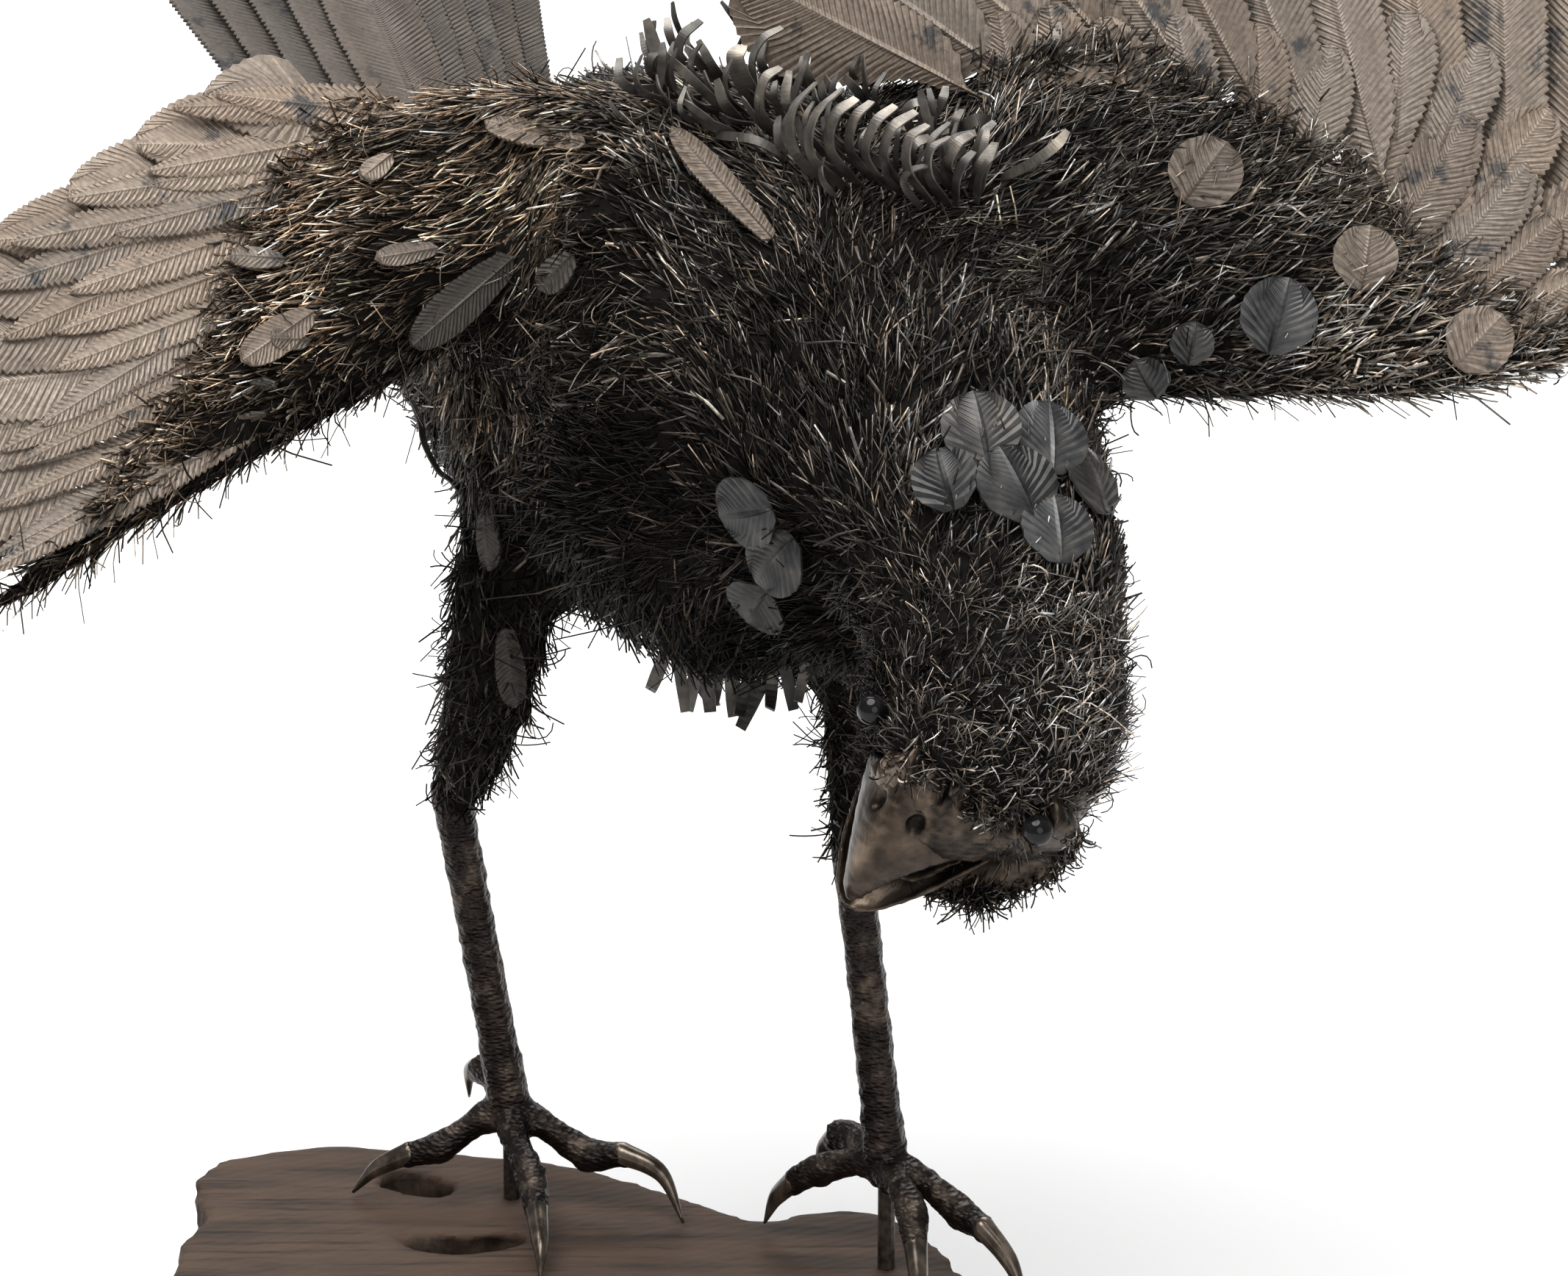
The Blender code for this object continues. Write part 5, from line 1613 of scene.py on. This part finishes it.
def curl_mesh(name, places, ways, length, shades, rng):
    """A mesh of thin curled wires that start at places and head off along ways."""
    count = len(places)
    side = unit(np.cross(ways, rng.normal(size=(count, 3))))
    over = np.cross(ways, side)
    curl = rng.uniform(-3.8, 3.8, count)
    steps, sides = 6, 3
    centres = [places]
    for step in range(1, steps):
        angle = curl * step / (steps - 1)
        heading = ways * np.cos(angle)[:, None] + side * np.sin(angle)[:, None]
        heading = unit(heading + over * (0.35 * np.sin(angle * 1.7))[:, None])
        centres.append(centres[-1] + heading * (length / (steps - 1))[:, None])
    centres = np.stack(centres, axis=1)
    along = unit(np.gradient(centres, axis=1))
    wide = unit(np.cross(along, over[:, None]))
    deep = np.cross(along, wide)
    turn = np.arange(sides) * 2 * math.pi / sides
    reach = 0.00019 * rng.uniform(0.8, 1.4, count)[:, None, None, None]
    round_wide, round_deep = np.cos(turn)[None, None, :, None], np.sin(turn)[None, None, :, None]
    rings = centres[:, :, None] + reach * (wide[:, :, None] * round_wide + deep[:, :, None] * round_deep)
    mesh = prism_mesh(name, rings)
    tint(mesh, np.repeat(wire_shades(shades, rng), steps * sides, axis=0))
    return mesh


class FALCON_OT_curls(Maker, bpy.types.Operator):
    """Scatter the thin stray wires that curl out of the coat, mostly on the head, legs and wing edges"""

    bl_idname = "falcon.curls"
    bl_label = "Stray curls"

    def make(self):
        rng = np.random.default_rng(17)
        parts, table = coat_guides()
        places, normals = skin_samples(bpy.data.objects["coat_backing"], sizes().curl_count, rng)
        keep = (rng.random(len(places)) > bare_face(places)) & clear_of_spots(places)
        values, nearest = guided(places, table)
        share = np.array([1.0 if parts[near] in CURLY_PARTS else 0.25 for near in nearest])
        keep &= rng.random(len(places)) < share
        places, normals, values = places[keep], normals[keep], values[keep]
        count = len(places)
        ways = unit(normals * 0.9 + values[:, :3] * 0.5 + rng.normal(0, 0.55, (count, 3)))
        length = rng.uniform(0.005, 0.011, count)
        mesh = curl_mesh("stray_curls", places + normals * 0.0015, ways, length, values[:, 6:9] * 0.8, rng)
        add_piece("stray_curls", mesh, bpy.data.materials["oxidised_wire"], "dark_wire")


class FALCON_OT_frizz(Maker, bpy.types.Operator):
    """Set the frizz of curled wires along the chin, the brow and the wings' lower edges"""

    bl_idname = "falcon.frizz"
    bl_label = "Frizz lines"

    def make(self):
        rng = np.random.default_rng(83)
        _, table = coat_guides()
        for i, (pixels, reach, number, low, high, way) in enumerate(FRIZZ):
            places, normals = seam_samples(pixels, ["coat_backing", "face_casting"], reach, number, rng)
            values, _ = guided(places, table)
            count = len(places)
            ways = unit(normals * 0.6 + np.array(way) + rng.normal(0, 0.45, (count, 3)))
            length = rng.uniform(low, high, count) * MM
            name = f"frizz_{i + 1}"
            mesh = curl_mesh(name, places - normals * 0.0004, ways, length, values[:, 6:9] * 0.8, rng)
            add_piece(name, mesh, bpy.data.materials["oxidised_wire"], "dark_wire")


# Ruff, fringe and loose strips


def strip_rings(root, ahead, normal, length, lift, curl, width, thick, steps, twist, point):
    """Rings of a flat strip that leaves the surface along ahead and curls up to the normal and over."""
    side = normal.cross(ahead).normalized()
    centre = root.copy()
    rings = []
    for step in range(steps):
        share = step / (steps - 1)
        angle = lift + curl * share
        along = ahead * math.cos(angle) + normal * math.sin(angle)
        over = along.cross(side).normalized()
        turned_side = side * math.cos(twist * share) + over * math.sin(twist * share)
        turned_over = over * math.cos(twist * share) - side * math.sin(twist * share)
        half = width / 2 * (1 - (1 - point) * max(0.0, share - 0.6) / 0.4)
        across = turned_side * half
        up = turned_over * (thick / 2)
        corners = (across + up, up - across, -across - up, across - up)
        rings.append([tuple(centre + corner) for corner in corners])
        centre = centre + along * (length / (steps - 1))
    return rings


def ribbon_rings(tree, pixels, width, rise, facing, twist):
    """Rings of a ribbon that starts on the figure and runs through pixels, rising towards the camera."""
    root, _ = on_figure(tree, pixels[0])
    eye, _ = photo_ray(*pixels[0])
    depth = (root - eye).length + 0.003
    spots = []
    for i, pixel in enumerate(pixels):
        share = i / (len(pixels) - 1)
        _, ray = photo_ray(*pixel)
        spots.append(eye + ray * (depth - (0.003 + rise * MM) * math.sin(share * math.pi * 0.72)))
    route = smooth_route(spots, 8)
    points = np.array([tuple(spot) for spot in route])
    along = unit(np.gradient(points, axis=0))
    view = unit(points - np.array(eye))
    across = unit(np.cross(along, view))
    share = np.linspace(0, 1, len(route))
    turn = (np.radians(facing) + twist * (share - 0.4))[:, None]
    wide = across * np.sin(turn) + unit(np.cross(across, along)) * np.cos(turn)
    over = unit(np.cross(along, wide))
    half = (width / 2 * MM * np.interp(share, (0, 0.15, 0.75, 1), (0.8, 1.05, 1.0, 0.62)))[:, None]
    thin = over * 0.00022
    corners = (wide * half + thin, thin - wide * half, -wide * half - thin, wide * half - thin)
    return np.stack([points + corner for corner in corners], axis=1)


class FALCON_OT_ruff(Maker, bpy.types.Operator):
    """Raise the ruff of curled ribbons over the nape and set the loose ribbons"""

    bl_idname = "falcon.ruff"
    bl_label = "Ruff and ribbons"

    def make(self):
        rng = np.random.default_rng(29)
        tree = figure_tree()
        material = bpy.data.materials["ribbon_sheet"]
        for i, (pixels, width, rise, facing, tone) in enumerate(RIBBONS):
            rings = ribbon_rings(tree, pixels, width, rise, facing, rng.uniform(-0.7, 0.7))
            name = f"ribbon_{i + 1:02d}"
            mesh = prism_mesh(name, rings[None])
            mesh.shade_flat()
            # Each ribbon is darker at its root and lighter at its tip: painted shade where it leaves the
            # coat.
            shade = 0.135 * tone * (1 + 0.55 * np.linspace(-1, 1, len(mesh.vertices)))
            tint(mesh, shade[:, None] * np.array((1.08, 0.97, 0.84)))
            add_piece(name, mesh, material, "dark_wire")
        rings, shades = [], []
        columns = [place[0] for place in RUFF_LOWER]
        for i in range(sizes().ribbon_count):
            across = rng.uniform(columns[0], columns[-1])
            low = np.interp(across, columns, [place[1] for place in RUFF_LOWER])
            high = np.interp(across, [place[0] for place in RUFF_UPPER], [place[1] for place in RUFF_UPPER])
            down = high + (low - high) * rng.random() ** 0.8
            lean = np.interp(across, (880, 1120, 1340), (-0.75, -0.25, 0.20)) + rng.normal(0, 0.4)
            long = rng.uniform(45, 95)
            bulge = rng.uniform(-6, 30)
            root = np.array((across, down))
            way = np.array((math.sin(lean), -math.cos(lean)))
            aside = np.array((way[1], -way[0])) * bulge
            bends = ((0, 0), (0.4, 1), (0.75, 0.9), (1, 0))
            pixels = [tuple(root + way * long * run + aside * out) for run, out in bends]
            width, rise = rng.uniform(1.2, 3.2), rng.uniform(2, 8)
            facing, twist = rng.uniform(20, 75), rng.uniform(-0.8, 0.8)
            rings.append(ribbon_rings(tree, pixels, width, rise, facing, twist))
            tone = rng.uniform(0.05, 0.20)
            shades.append((tone * 1.05, tone * 0.97, tone * 0.88))
        mesh = prism_mesh("ruff_ribbons", np.array(rings))
        mesh.shade_flat()
        tint(mesh, np.repeat(np.array(shades), len(mesh.vertices) // len(shades), axis=0))
        add_piece("ruff_ribbons", mesh, material, "dark_wire")


class FALCON_OT_fringe(Maker, bpy.types.Operator):
    """Hang the short strips under the belly"""

    bl_idname = "falcon.fringe"
    bl_label = "Fringe strips"

    def make(self):
        tree = figure_tree()
        rng = np.random.default_rng(31)
        strips = []
        for pixel, lean, length, width in FRINGE:
            place, _ = on_figure(tree, pixel)
            ahead = Vector((math.sin(lean), -0.10, -math.cos(lean))).normalized()
            face = square(Vector((0, -1, 0.2)), ahead)
            start = place - ahead * 0.004
            lift, curl, twist = rng.uniform(-0.1, 0.1), rng.uniform(-1.5, 1.5), rng.normal(0, 0.3)
            run = (length + 4) * MM
            strips.append(
                strip_rings(start, ahead, face, run, lift, curl, width * MM, 0.0005, 8, twist, 0.85)
            )
        mesh = prism_mesh("belly_fringe", np.array(strips))
        mesh.shade_flat()
        tone = rng.uniform(0.03, 0.10, len(strips))
        points_each = len(mesh.vertices) // len(strips)
        tint(mesh, np.repeat(tone[:, None] * np.array((1.05, 0.96, 0.86)), points_each, axis=0))
        add_piece("belly_fringe", mesh, bpy.data.materials["ribbon_sheet"], "dark_wire")


# Head


def beak_axes():
    """The beak's start, forward, left and up: the head's, rolled a little and set to one side."""
    centre, ahead, left, up = (np.array(v) for v in head_axes())
    turned_left = left * math.cos(BEAK_ROLL) + up * math.sin(BEAK_ROLL)
    turned_up = up * math.cos(BEAK_ROLL) - left * math.sin(BEAK_ROLL)
    pivot = centre + left * BEAK_SHIFT * MM - up * 4 * MM
    return pivot + turned_up * 4 * MM, ahead, turned_left, turned_up


def beak_place(places):
    """Places read in the beak's own frame, in millimetres."""
    start, ahead, left, up = beak_axes()
    apart = (places - start) / MM
    forward = apart @ ahead
    return np.column_stack([forward, apart @ left - BEAK_LEAN * (forward - 17.6), apart @ up])


def lips(rows, places, arch, sides):
    """Sections of a beak, arched over (1) to a blunt keel or under (-1) in a half round."""
    start, ahead, left, up = beak_axes()
    table = spread(rows, places)
    turn = np.linspace(0, math.pi, sides)
    rings = []
    for place, (wide, high, low) in zip(places, table):
        flat, crown = (low, high) if arch > 0 else (high, low)
        keel = 1 - np.abs(np.cos(turn)) ** 1.55
        arc = keel * 0.6 + np.sin(turn) * 0.4 if arch > 0 else np.sin(turn)
        ring = (
            start
            + ahead * place * MM
            + left * ((wide * np.cos(turn) + BEAK_LEAN * (place - 17.6)) * MM)[:, None]
            + up * ((flat + (crown - flat) * arc) * MM)[:, None]
        )
        rings.append(ring)
    return np.array(rings)


def shell_rings(rows, places, sides):
    """U-shaped sections of the lower beak, hollow on top so that its rim stands."""
    outer = lips(rows, places, -1, sides)
    up = beak_axes()[3]
    middle = (outer[:, :1] + outer[:, -1:]) / 2
    half_width = np.linalg.norm(outer[:, :1] - middle, axis=-1, keepdims=True)
    inner = middle + (outer - middle) * (1 - 0.0012 / np.maximum(half_width, 0.0018)) + up * 0.0004
    return np.concatenate([outer, inner[:, ::-1]], axis=1)


def head_rings(rows):
    """Round sections of the face or the jaw."""
    centre, ahead, left, up = (np.array(v) for v in head_axes())
    turn = np.linspace(0, 2 * math.pi, 72, endpoint=False)
    places = np.linspace(rows[0][0], rows[-1][0], 30)
    return [
        centre
        + ahead * place * MM
        + left * (wide * np.cos(turn) * MM)[:, None]
        + up * ((high * np.sin(turn) + rise) * MM)[:, None]
        for place, (wide, high, rise) in zip(places, spread(rows, places))
    ]


def nostrils(points):
    """How deep each point lies in a nostril, from 0 to 1."""
    spots = beak_place(points)
    holes = np.zeros(len(points))
    for side in (1, -1):
        apart = (spots - np.array(NOSTRIL_PLACE) * np.array((1, side, 1))) / np.array((2.7, 2.0, 4.1))
        holes += np.exp(-((apart**2).sum(axis=1)) ** 3)
    return holes


def glow(distance, reach):
    """A soft bump of 1 at no distance that fades within a reach."""
    return np.exp(-((distance / reach) ** 2))


def cast_beak(bronze):
    """The open beak with its nostrils, brighter on the ridge as rubbed wear and painted highlight, rubbed
    brighter on the tip, and painted dark in the nostrils as painted shade.
    """
    upper = lips(UPPER_BEAK, np.linspace(17.6, 48, 34), 1, 41)
    lower = shell_rings(LOWER_BEAK, np.linspace(17.6, 49.4, 34), 41)
    beak = joined_lofts("beak_casting", [upper, lower])
    apply_modifier(beak, "REMESH", mode="VOXEL", voxel_size=sizes().beak_voxel)
    apply_modifier(beak, "SMOOTH", iterations=2, factor=0.5)
    points, _ = point_arrays(beak)
    forward, aside, rise = beak_place(points).T
    holes = nostrils(points)
    grain = ripple(points, 0.007, 5)
    shift_points(beak, -0.0018 * holes + 0.00010 * grain)
    # The ridge's upper side is brighter, partly rubbed wear and partly painted highlight; the crest patch and
    # the tip are rubbed brighter; the nostrils are painted dark as painted shade.
    worn = 0.58 + 1.2 * glow(aside + 1.5, 2.2) * (rise > 0) * (forward > 25) + 0.14 * grain
    worn += 0.8 * glow(forward - 21, 3.0) * glow(aside + 7, 6.0) + 0.5 * glow(forward - 47, 3)
    tint(beak.data, (np.clip(worn, 0.2, 2.2) * (1 - 0.93 * holes))[:, None] * np.ones(3))
    dress_smooth(beak, bronze, "beak_bronze", "beak")


def cast_face(bronze):
    """The chased face and jaw with the lids, sunk where the wire coat covers them."""
    face = joined_lofts("face_casting", [head_rings(FACE), head_rings(JAW)])
    room = joined_lofts("mouth_room", [lips(MOUTH, np.linspace(20.4, 52, 24), -1, 41)])
    apply_modifier(face, "REMESH", mode="VOXEL", voxel_size=sizes().face_voxel)
    apply_modifier(face, "BOOLEAN", object=room, operation="DIFFERENCE", solver="EXACT")
    bpy.data.objects.remove(room, do_unlink=True)
    apply_modifier(face, "REMESH", mode="VOXEL", voxel_size=sizes().face_voxel)
    apply_modifier(face, "SMOOTH", iterations=3, factor=0.5)
    points, _ = point_arrays(face)
    spots = head_place(points)
    forward, aside, rise = spots.T
    strokes = ripple(np.column_stack([forward * 0.55, aside, rise]) * MM, 0.0046, 8, 4)
    holes = nostrils(points)
    sunk = np.clip(1 - (bare_margin(points) + 2.5) / 3, 0, 1)
    cheek = (aside > 22) & (rise < 12) & (rise > -14)
    sunk = np.where(cheek, sunk * 0.8, sunk)
    lids = np.zeros(len(points))
    for eye in eye_spots():
        lids += glow(np.linalg.norm(points - np.array(eye), axis=1) / MM - 4.7, 0.8)
    shift_points(face, -0.0004 + 0.00022 * strokes + 0.0010 * lids - 0.0022 * holes - 0.0050 * sunk)
    patch = glow(forward - 19, 3.5) * glow(aside + 12, 8)
    worn = 0.55 + 0.45 * strokes + 1.1 * patch + 0.5 * lids
    # Darker in the nostrils and where the wire coat covers the face: painted shade; the strokes, patch and
    # lids are wear.
    worn = np.clip(worn, 0.12, 2.2) * (1 - 0.93 * holes) * (1 - 0.7 * sunk)
    tint(face.data, worn[:, None] * np.ones(3))
    dress_smooth(face, bronze, "beak_bronze")


def set_eyes():
    """Each black bead stands a little out of its socket, or in, as the photo shows."""
    glass = eye_material()
    centre = head_axes()[0]
    for name, spot, out in zip(("left_eye", "right_eye"), eye_spots(), (0.0008, -0.0012)):
        spot = spot + (spot - centre).normalized() * out
        deselect()
        radius = sizes().eye_radius
        bpy.ops.mesh.primitive_uv_sphere_add(segments=48, ring_count=24, radius=radius, location=spot)
        eye = bpy.context.active_object
        eye.name = name + "_bead"
        eye.data.name = eye.name
        bpy.ops.object.transform_apply()
        dress_smooth(eye, glass, "eye_black", name)


class FALCON_OT_head(Maker, bpy.types.Operator):
    """Cast the beak and the bare bronze face, and set the two eyes"""

    bl_idname = "falcon.head"
    bl_label = "Beak, face and eyes"

    def make(self):
        bronze = bronze_material()
        cast_beak(bronze)
        cast_face(bronze)
        set_eyes()


# Legs


def leg_lofts(ankle, hub, toes):
    """Rings of the bare leg, its hub and its toes with their pads, and those of the claws."""
    top = bird(*ankle)
    foot = bird(*hub)
    rise = (top - foot).normalized()
    route = smooth_route([top + rise * 0.012, top, top.lerp(foot, 0.3), top.lerp(foot, 0.72), foot], 8)
    shares = np.interp(np.linspace(0, 1, len(route)), (0, 0.2, 0.45, 0.75, 1), (5.4, 5.2, 4.9, 5.0, 5.8))
    castings = [tube_rings(route, shares, 20)]
    tendon = [point + Vector((0.0024, -0.0030, 0)) for point in route]
    castings.append(tube_rings(tendon, shares * 0.40, 12))
    castings.append(tube_rings([foot + Vector((0, 0, z * MM)) for z in (-6, -5, -2.5, 0, 2.5, 5, 6)],
                               (2.0, 4.0, 5.2, 5.5, 5.2, 4.0, 2.0), 20))
    claws = []
    for toe in toes:
        places = [foot] + [bird(*point) for point in toe]
        body = places[:-2]
        reach = [5.0, *TOE_RADII[: len(body) - 1]]
        route = smooth_route(body, 6)
        knots = np.linspace(0, 1, len(body))
        radii = np.interp(np.linspace(0, 1, len(route)), knots, reach)
        castings.append(tube_rings(route, radii, 16))
        for joint, radius in zip(body[1:], reach[1:]):
            pad = joint - Vector((0, 0, radius * 0.45 * MM))
            spread_out = [pad + Vector((0, 0, z * radius * MM)) for z in (-0.62, -0.5, -0.2, 0.2, 0.5, 0.62)]
            castings.append(tube_rings(spread_out, np.array((0.3, 0.62, 0.86, 0.86, 0.62, 0.3)) * radius, 14))
        hook = smooth_route([body[-1].lerp(body[-2], 0.25), body[-1], *places[-2:]], 8)
        size = np.interp(np.linspace(0, 1, len(hook)), (0, 0.28, 0.62, 1), (2.2, 3.15, 2.35, 0.35))
        claws.append(tube_rings(hook, size * (1.0 if len(toe) > 5 else 0.85), 18))
    return castings, claws


class FALCON_OT_legs(Maker, bpy.types.Operator):
    """Cast the legs, set the claws and brown the pegs"""

    bl_idname = "falcon.legs"
    bl_label = "Legs and claws"

    def make(self):
        casting = casting_material()
        claw = claw_material()
        for side, ankle, hub, toes in (
            ("right", RIGHT_ANKLE, RIGHT_HUB, RIGHT_TOES),
            ("left", LEFT_ANKLE, LEFT_HUB, LEFT_TOES),
        ):
            castings, claws = leg_lofts(ankle, hub, toes)
            leg = joined_lofts(f"{side}_leg_casting", castings)
            apply_modifier(leg, "REMESH", mode="VOXEL", voxel_size=sizes().leg_voxel)
            apply_modifier(leg, "SMOOTH", iterations=3, factor=0.5)
            points, _ = point_arrays(leg)
            scutes = np.sin(points[:, 2] / 0.0021 + 1.4 * ripple(points, 0.009, 7, 1))
            shift_points(leg, 0.00018 * ripple(points, 0.0045, 6) + 0.00013 * scutes)
            dress_smooth(leg, casting, "cast_leg", f"{side}_leg")
            hooks = joined_lofts(f"{side}_claws", claws)
            dress_smooth(hooks, claw, "cast_leg")
        steel = steel_material()
        for name in ("right_peg", "left_peg"):
            frame["nodes"][name].data.materials.clear()
            frame["nodes"][name].data.materials.append(steel)


# Slab


class FALCON_OT_slab(Maker, bpy.types.Operator):
    """Saw the slab, break its live edge and leave its holes"""

    bl_idname = "falcon.slab"
    bl_label = "Timber slab"

    def make(self):
        obj = copy_of_node("wood_slab", "timber_slab")
        apply_modifier(obj, "REMESH", mode="VOXEL", voxel_size=sizes().slab_voxel)
        apply_modifier(obj, "SMOOTH", iterations=1, factor=0.5)
        points, normals = point_arrays(obj)
        flatness = np.abs(normals[:, 2])
        side = np.clip((0.75 - flatness) / 0.4, 0, 1)
        rough = np.column_stack([points[:, 0], points[:, 1], points[:, 2] * 0.35])
        bark = -0.0016 + 0.0017 * ripple(rough, 0.016, 14, 4)
        sawn = 0.00018 * ripple(points * np.array((0.35, 1.4, 1)), 0.010, 15, 3)
        shift_points(obj, side * np.minimum(bark, 0.0012) + (1 - side) * sawn)
        rows = np.zeros((len(points), 3))
        rows[:, 0] = np.clip(side + 0.35 * (points[:, 0] > 0.085) * (ripple(points, 0.02, 16) > 0.1), 0, 1)
        tint(obj.data, rows)
        dress_smooth(obj, timber_material(), "wood", "wood_slab")


# Stage


class FALCON_OT_stage(Maker, bpy.types.Operator):
    """Lay the pale floor, hang the soft lights and set the camera"""

    bl_idname = "falcon.stage"
    bl_label = "Studio"

    def make(self):
        size = sizes()
        scene = bpy.context.scene
        deselect()
        bpy.ops.mesh.primitive_plane_add(size=14, location=(0, 2, 0))
        floor = bpy.context.active_object
        floor.name = "floor"
        floor.data.materials.append(paper_material())
        bpy.ops.object.transform_apply()
        for name, place, width, power in (
            ("top_light", Vector((-0.25, -0.35, 1.75)), 1.5, size.key_power),
            ("front_light", Vector((0.6, -2.0, 0.9)), 1.6, size.fill_power),
            ("back_light", Vector((-0.1, 2.0, 2.2)), 2.4, size.back_power),
        ):
            data = bpy.data.lights.new(name, "AREA")
            data.shape = "DISK"
            data.size = width
            data.energy = power
            light = bpy.data.objects.new(name, data)
            light.location = place
            light.rotation_euler = (TARGET - place).to_track_quat("-Z", "Y").to_euler()
            scene.collection.objects.link(light)
        world = bpy.data.worlds.new("studio")
        world.use_nodes = True
        background = world.node_tree.nodes["Background"]
        background.inputs["Color"].default_value = (1, 1, 1, 1)
        background.inputs["Strength"].default_value = 0.36
        scene.world = world
        scene.view_settings.view_transform = "Standard"
        data = bpy.data.cameras.new("photo_camera")
        data.sensor_width = 36
        data.lens = 36 * size.camera_distance * 1000 * PIXELS_PER_MM / PHOTO_WIDTH
        data.clip_end = 50
        camera = bpy.data.objects.new("photo_camera", data)
        eye, _ = photo_ray(PHOTO_WIDTH / 2, PHOTO_HEIGHT / 2)
        camera.location = eye
        camera.rotation_euler = (TARGET - eye).to_track_quat("-Z", "Y").to_euler()
        scene.collection.objects.link(camera)
        scene.camera = camera


# In the order in which they run
OPERATORS = (
    FALCON_OT_backing,
    FALCON_OT_wire_coat,
    FALCON_OT_curls,
    FALCON_OT_flight_feathers,
    FALCON_OT_coverts,
    FALCON_OT_seams,
    FALCON_OT_leaves,
    FALCON_OT_discs,
    FALCON_OT_ruff,
    FALCON_OT_fringe,
    FALCON_OT_head,
    FALCON_OT_frizz,
    FALCON_OT_legs,
    FALCON_OT_slab,
    FALCON_OT_stage,
)


class FALCON_PT_looks(bpy.types.Panel):
    """Lists the sizes, the colours and the pieces"""

    bl_idname = "FALCON_PT_looks"
    bl_label = "Falcon sculpture"
    bl_space_type = "VIEW_3D"
    bl_region_type = "UI"
    bl_category = "Falcon"

    def draw(self, context):
        for group in (context.scene.falcon_sizes, context.scene.falcon_colours):
            box = self.layout.box()
            for key in group.__annotations__:
                box.prop(group, key)
        for operator in OPERATORS:
            self.layout.operator(operator.bl_idname)


CLASSES = (FalconSizes, FalconColours, *OPERATORS, FALCON_PT_looks)


def register():
    for cls in CLASSES:
        bpy.utils.register_class(cls)
    bpy.types.Scene.falcon_sizes = PointerProperty(type=FalconSizes)
    bpy.types.Scene.falcon_colours = PointerProperty(type=FalconColours)


def unregister():
    del bpy.types.Scene.falcon_sizes
    del bpy.types.Scene.falcon_colours
    for cls in reversed(CLASSES):
        bpy.utils.unregister_class(cls)


def main():
    register()
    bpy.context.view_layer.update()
    for operator in OPERATORS:
        getattr(bpy.ops.falcon, operator.bl_idname.removeprefix("falcon."))()


if __name__ == "__main__":
    main()
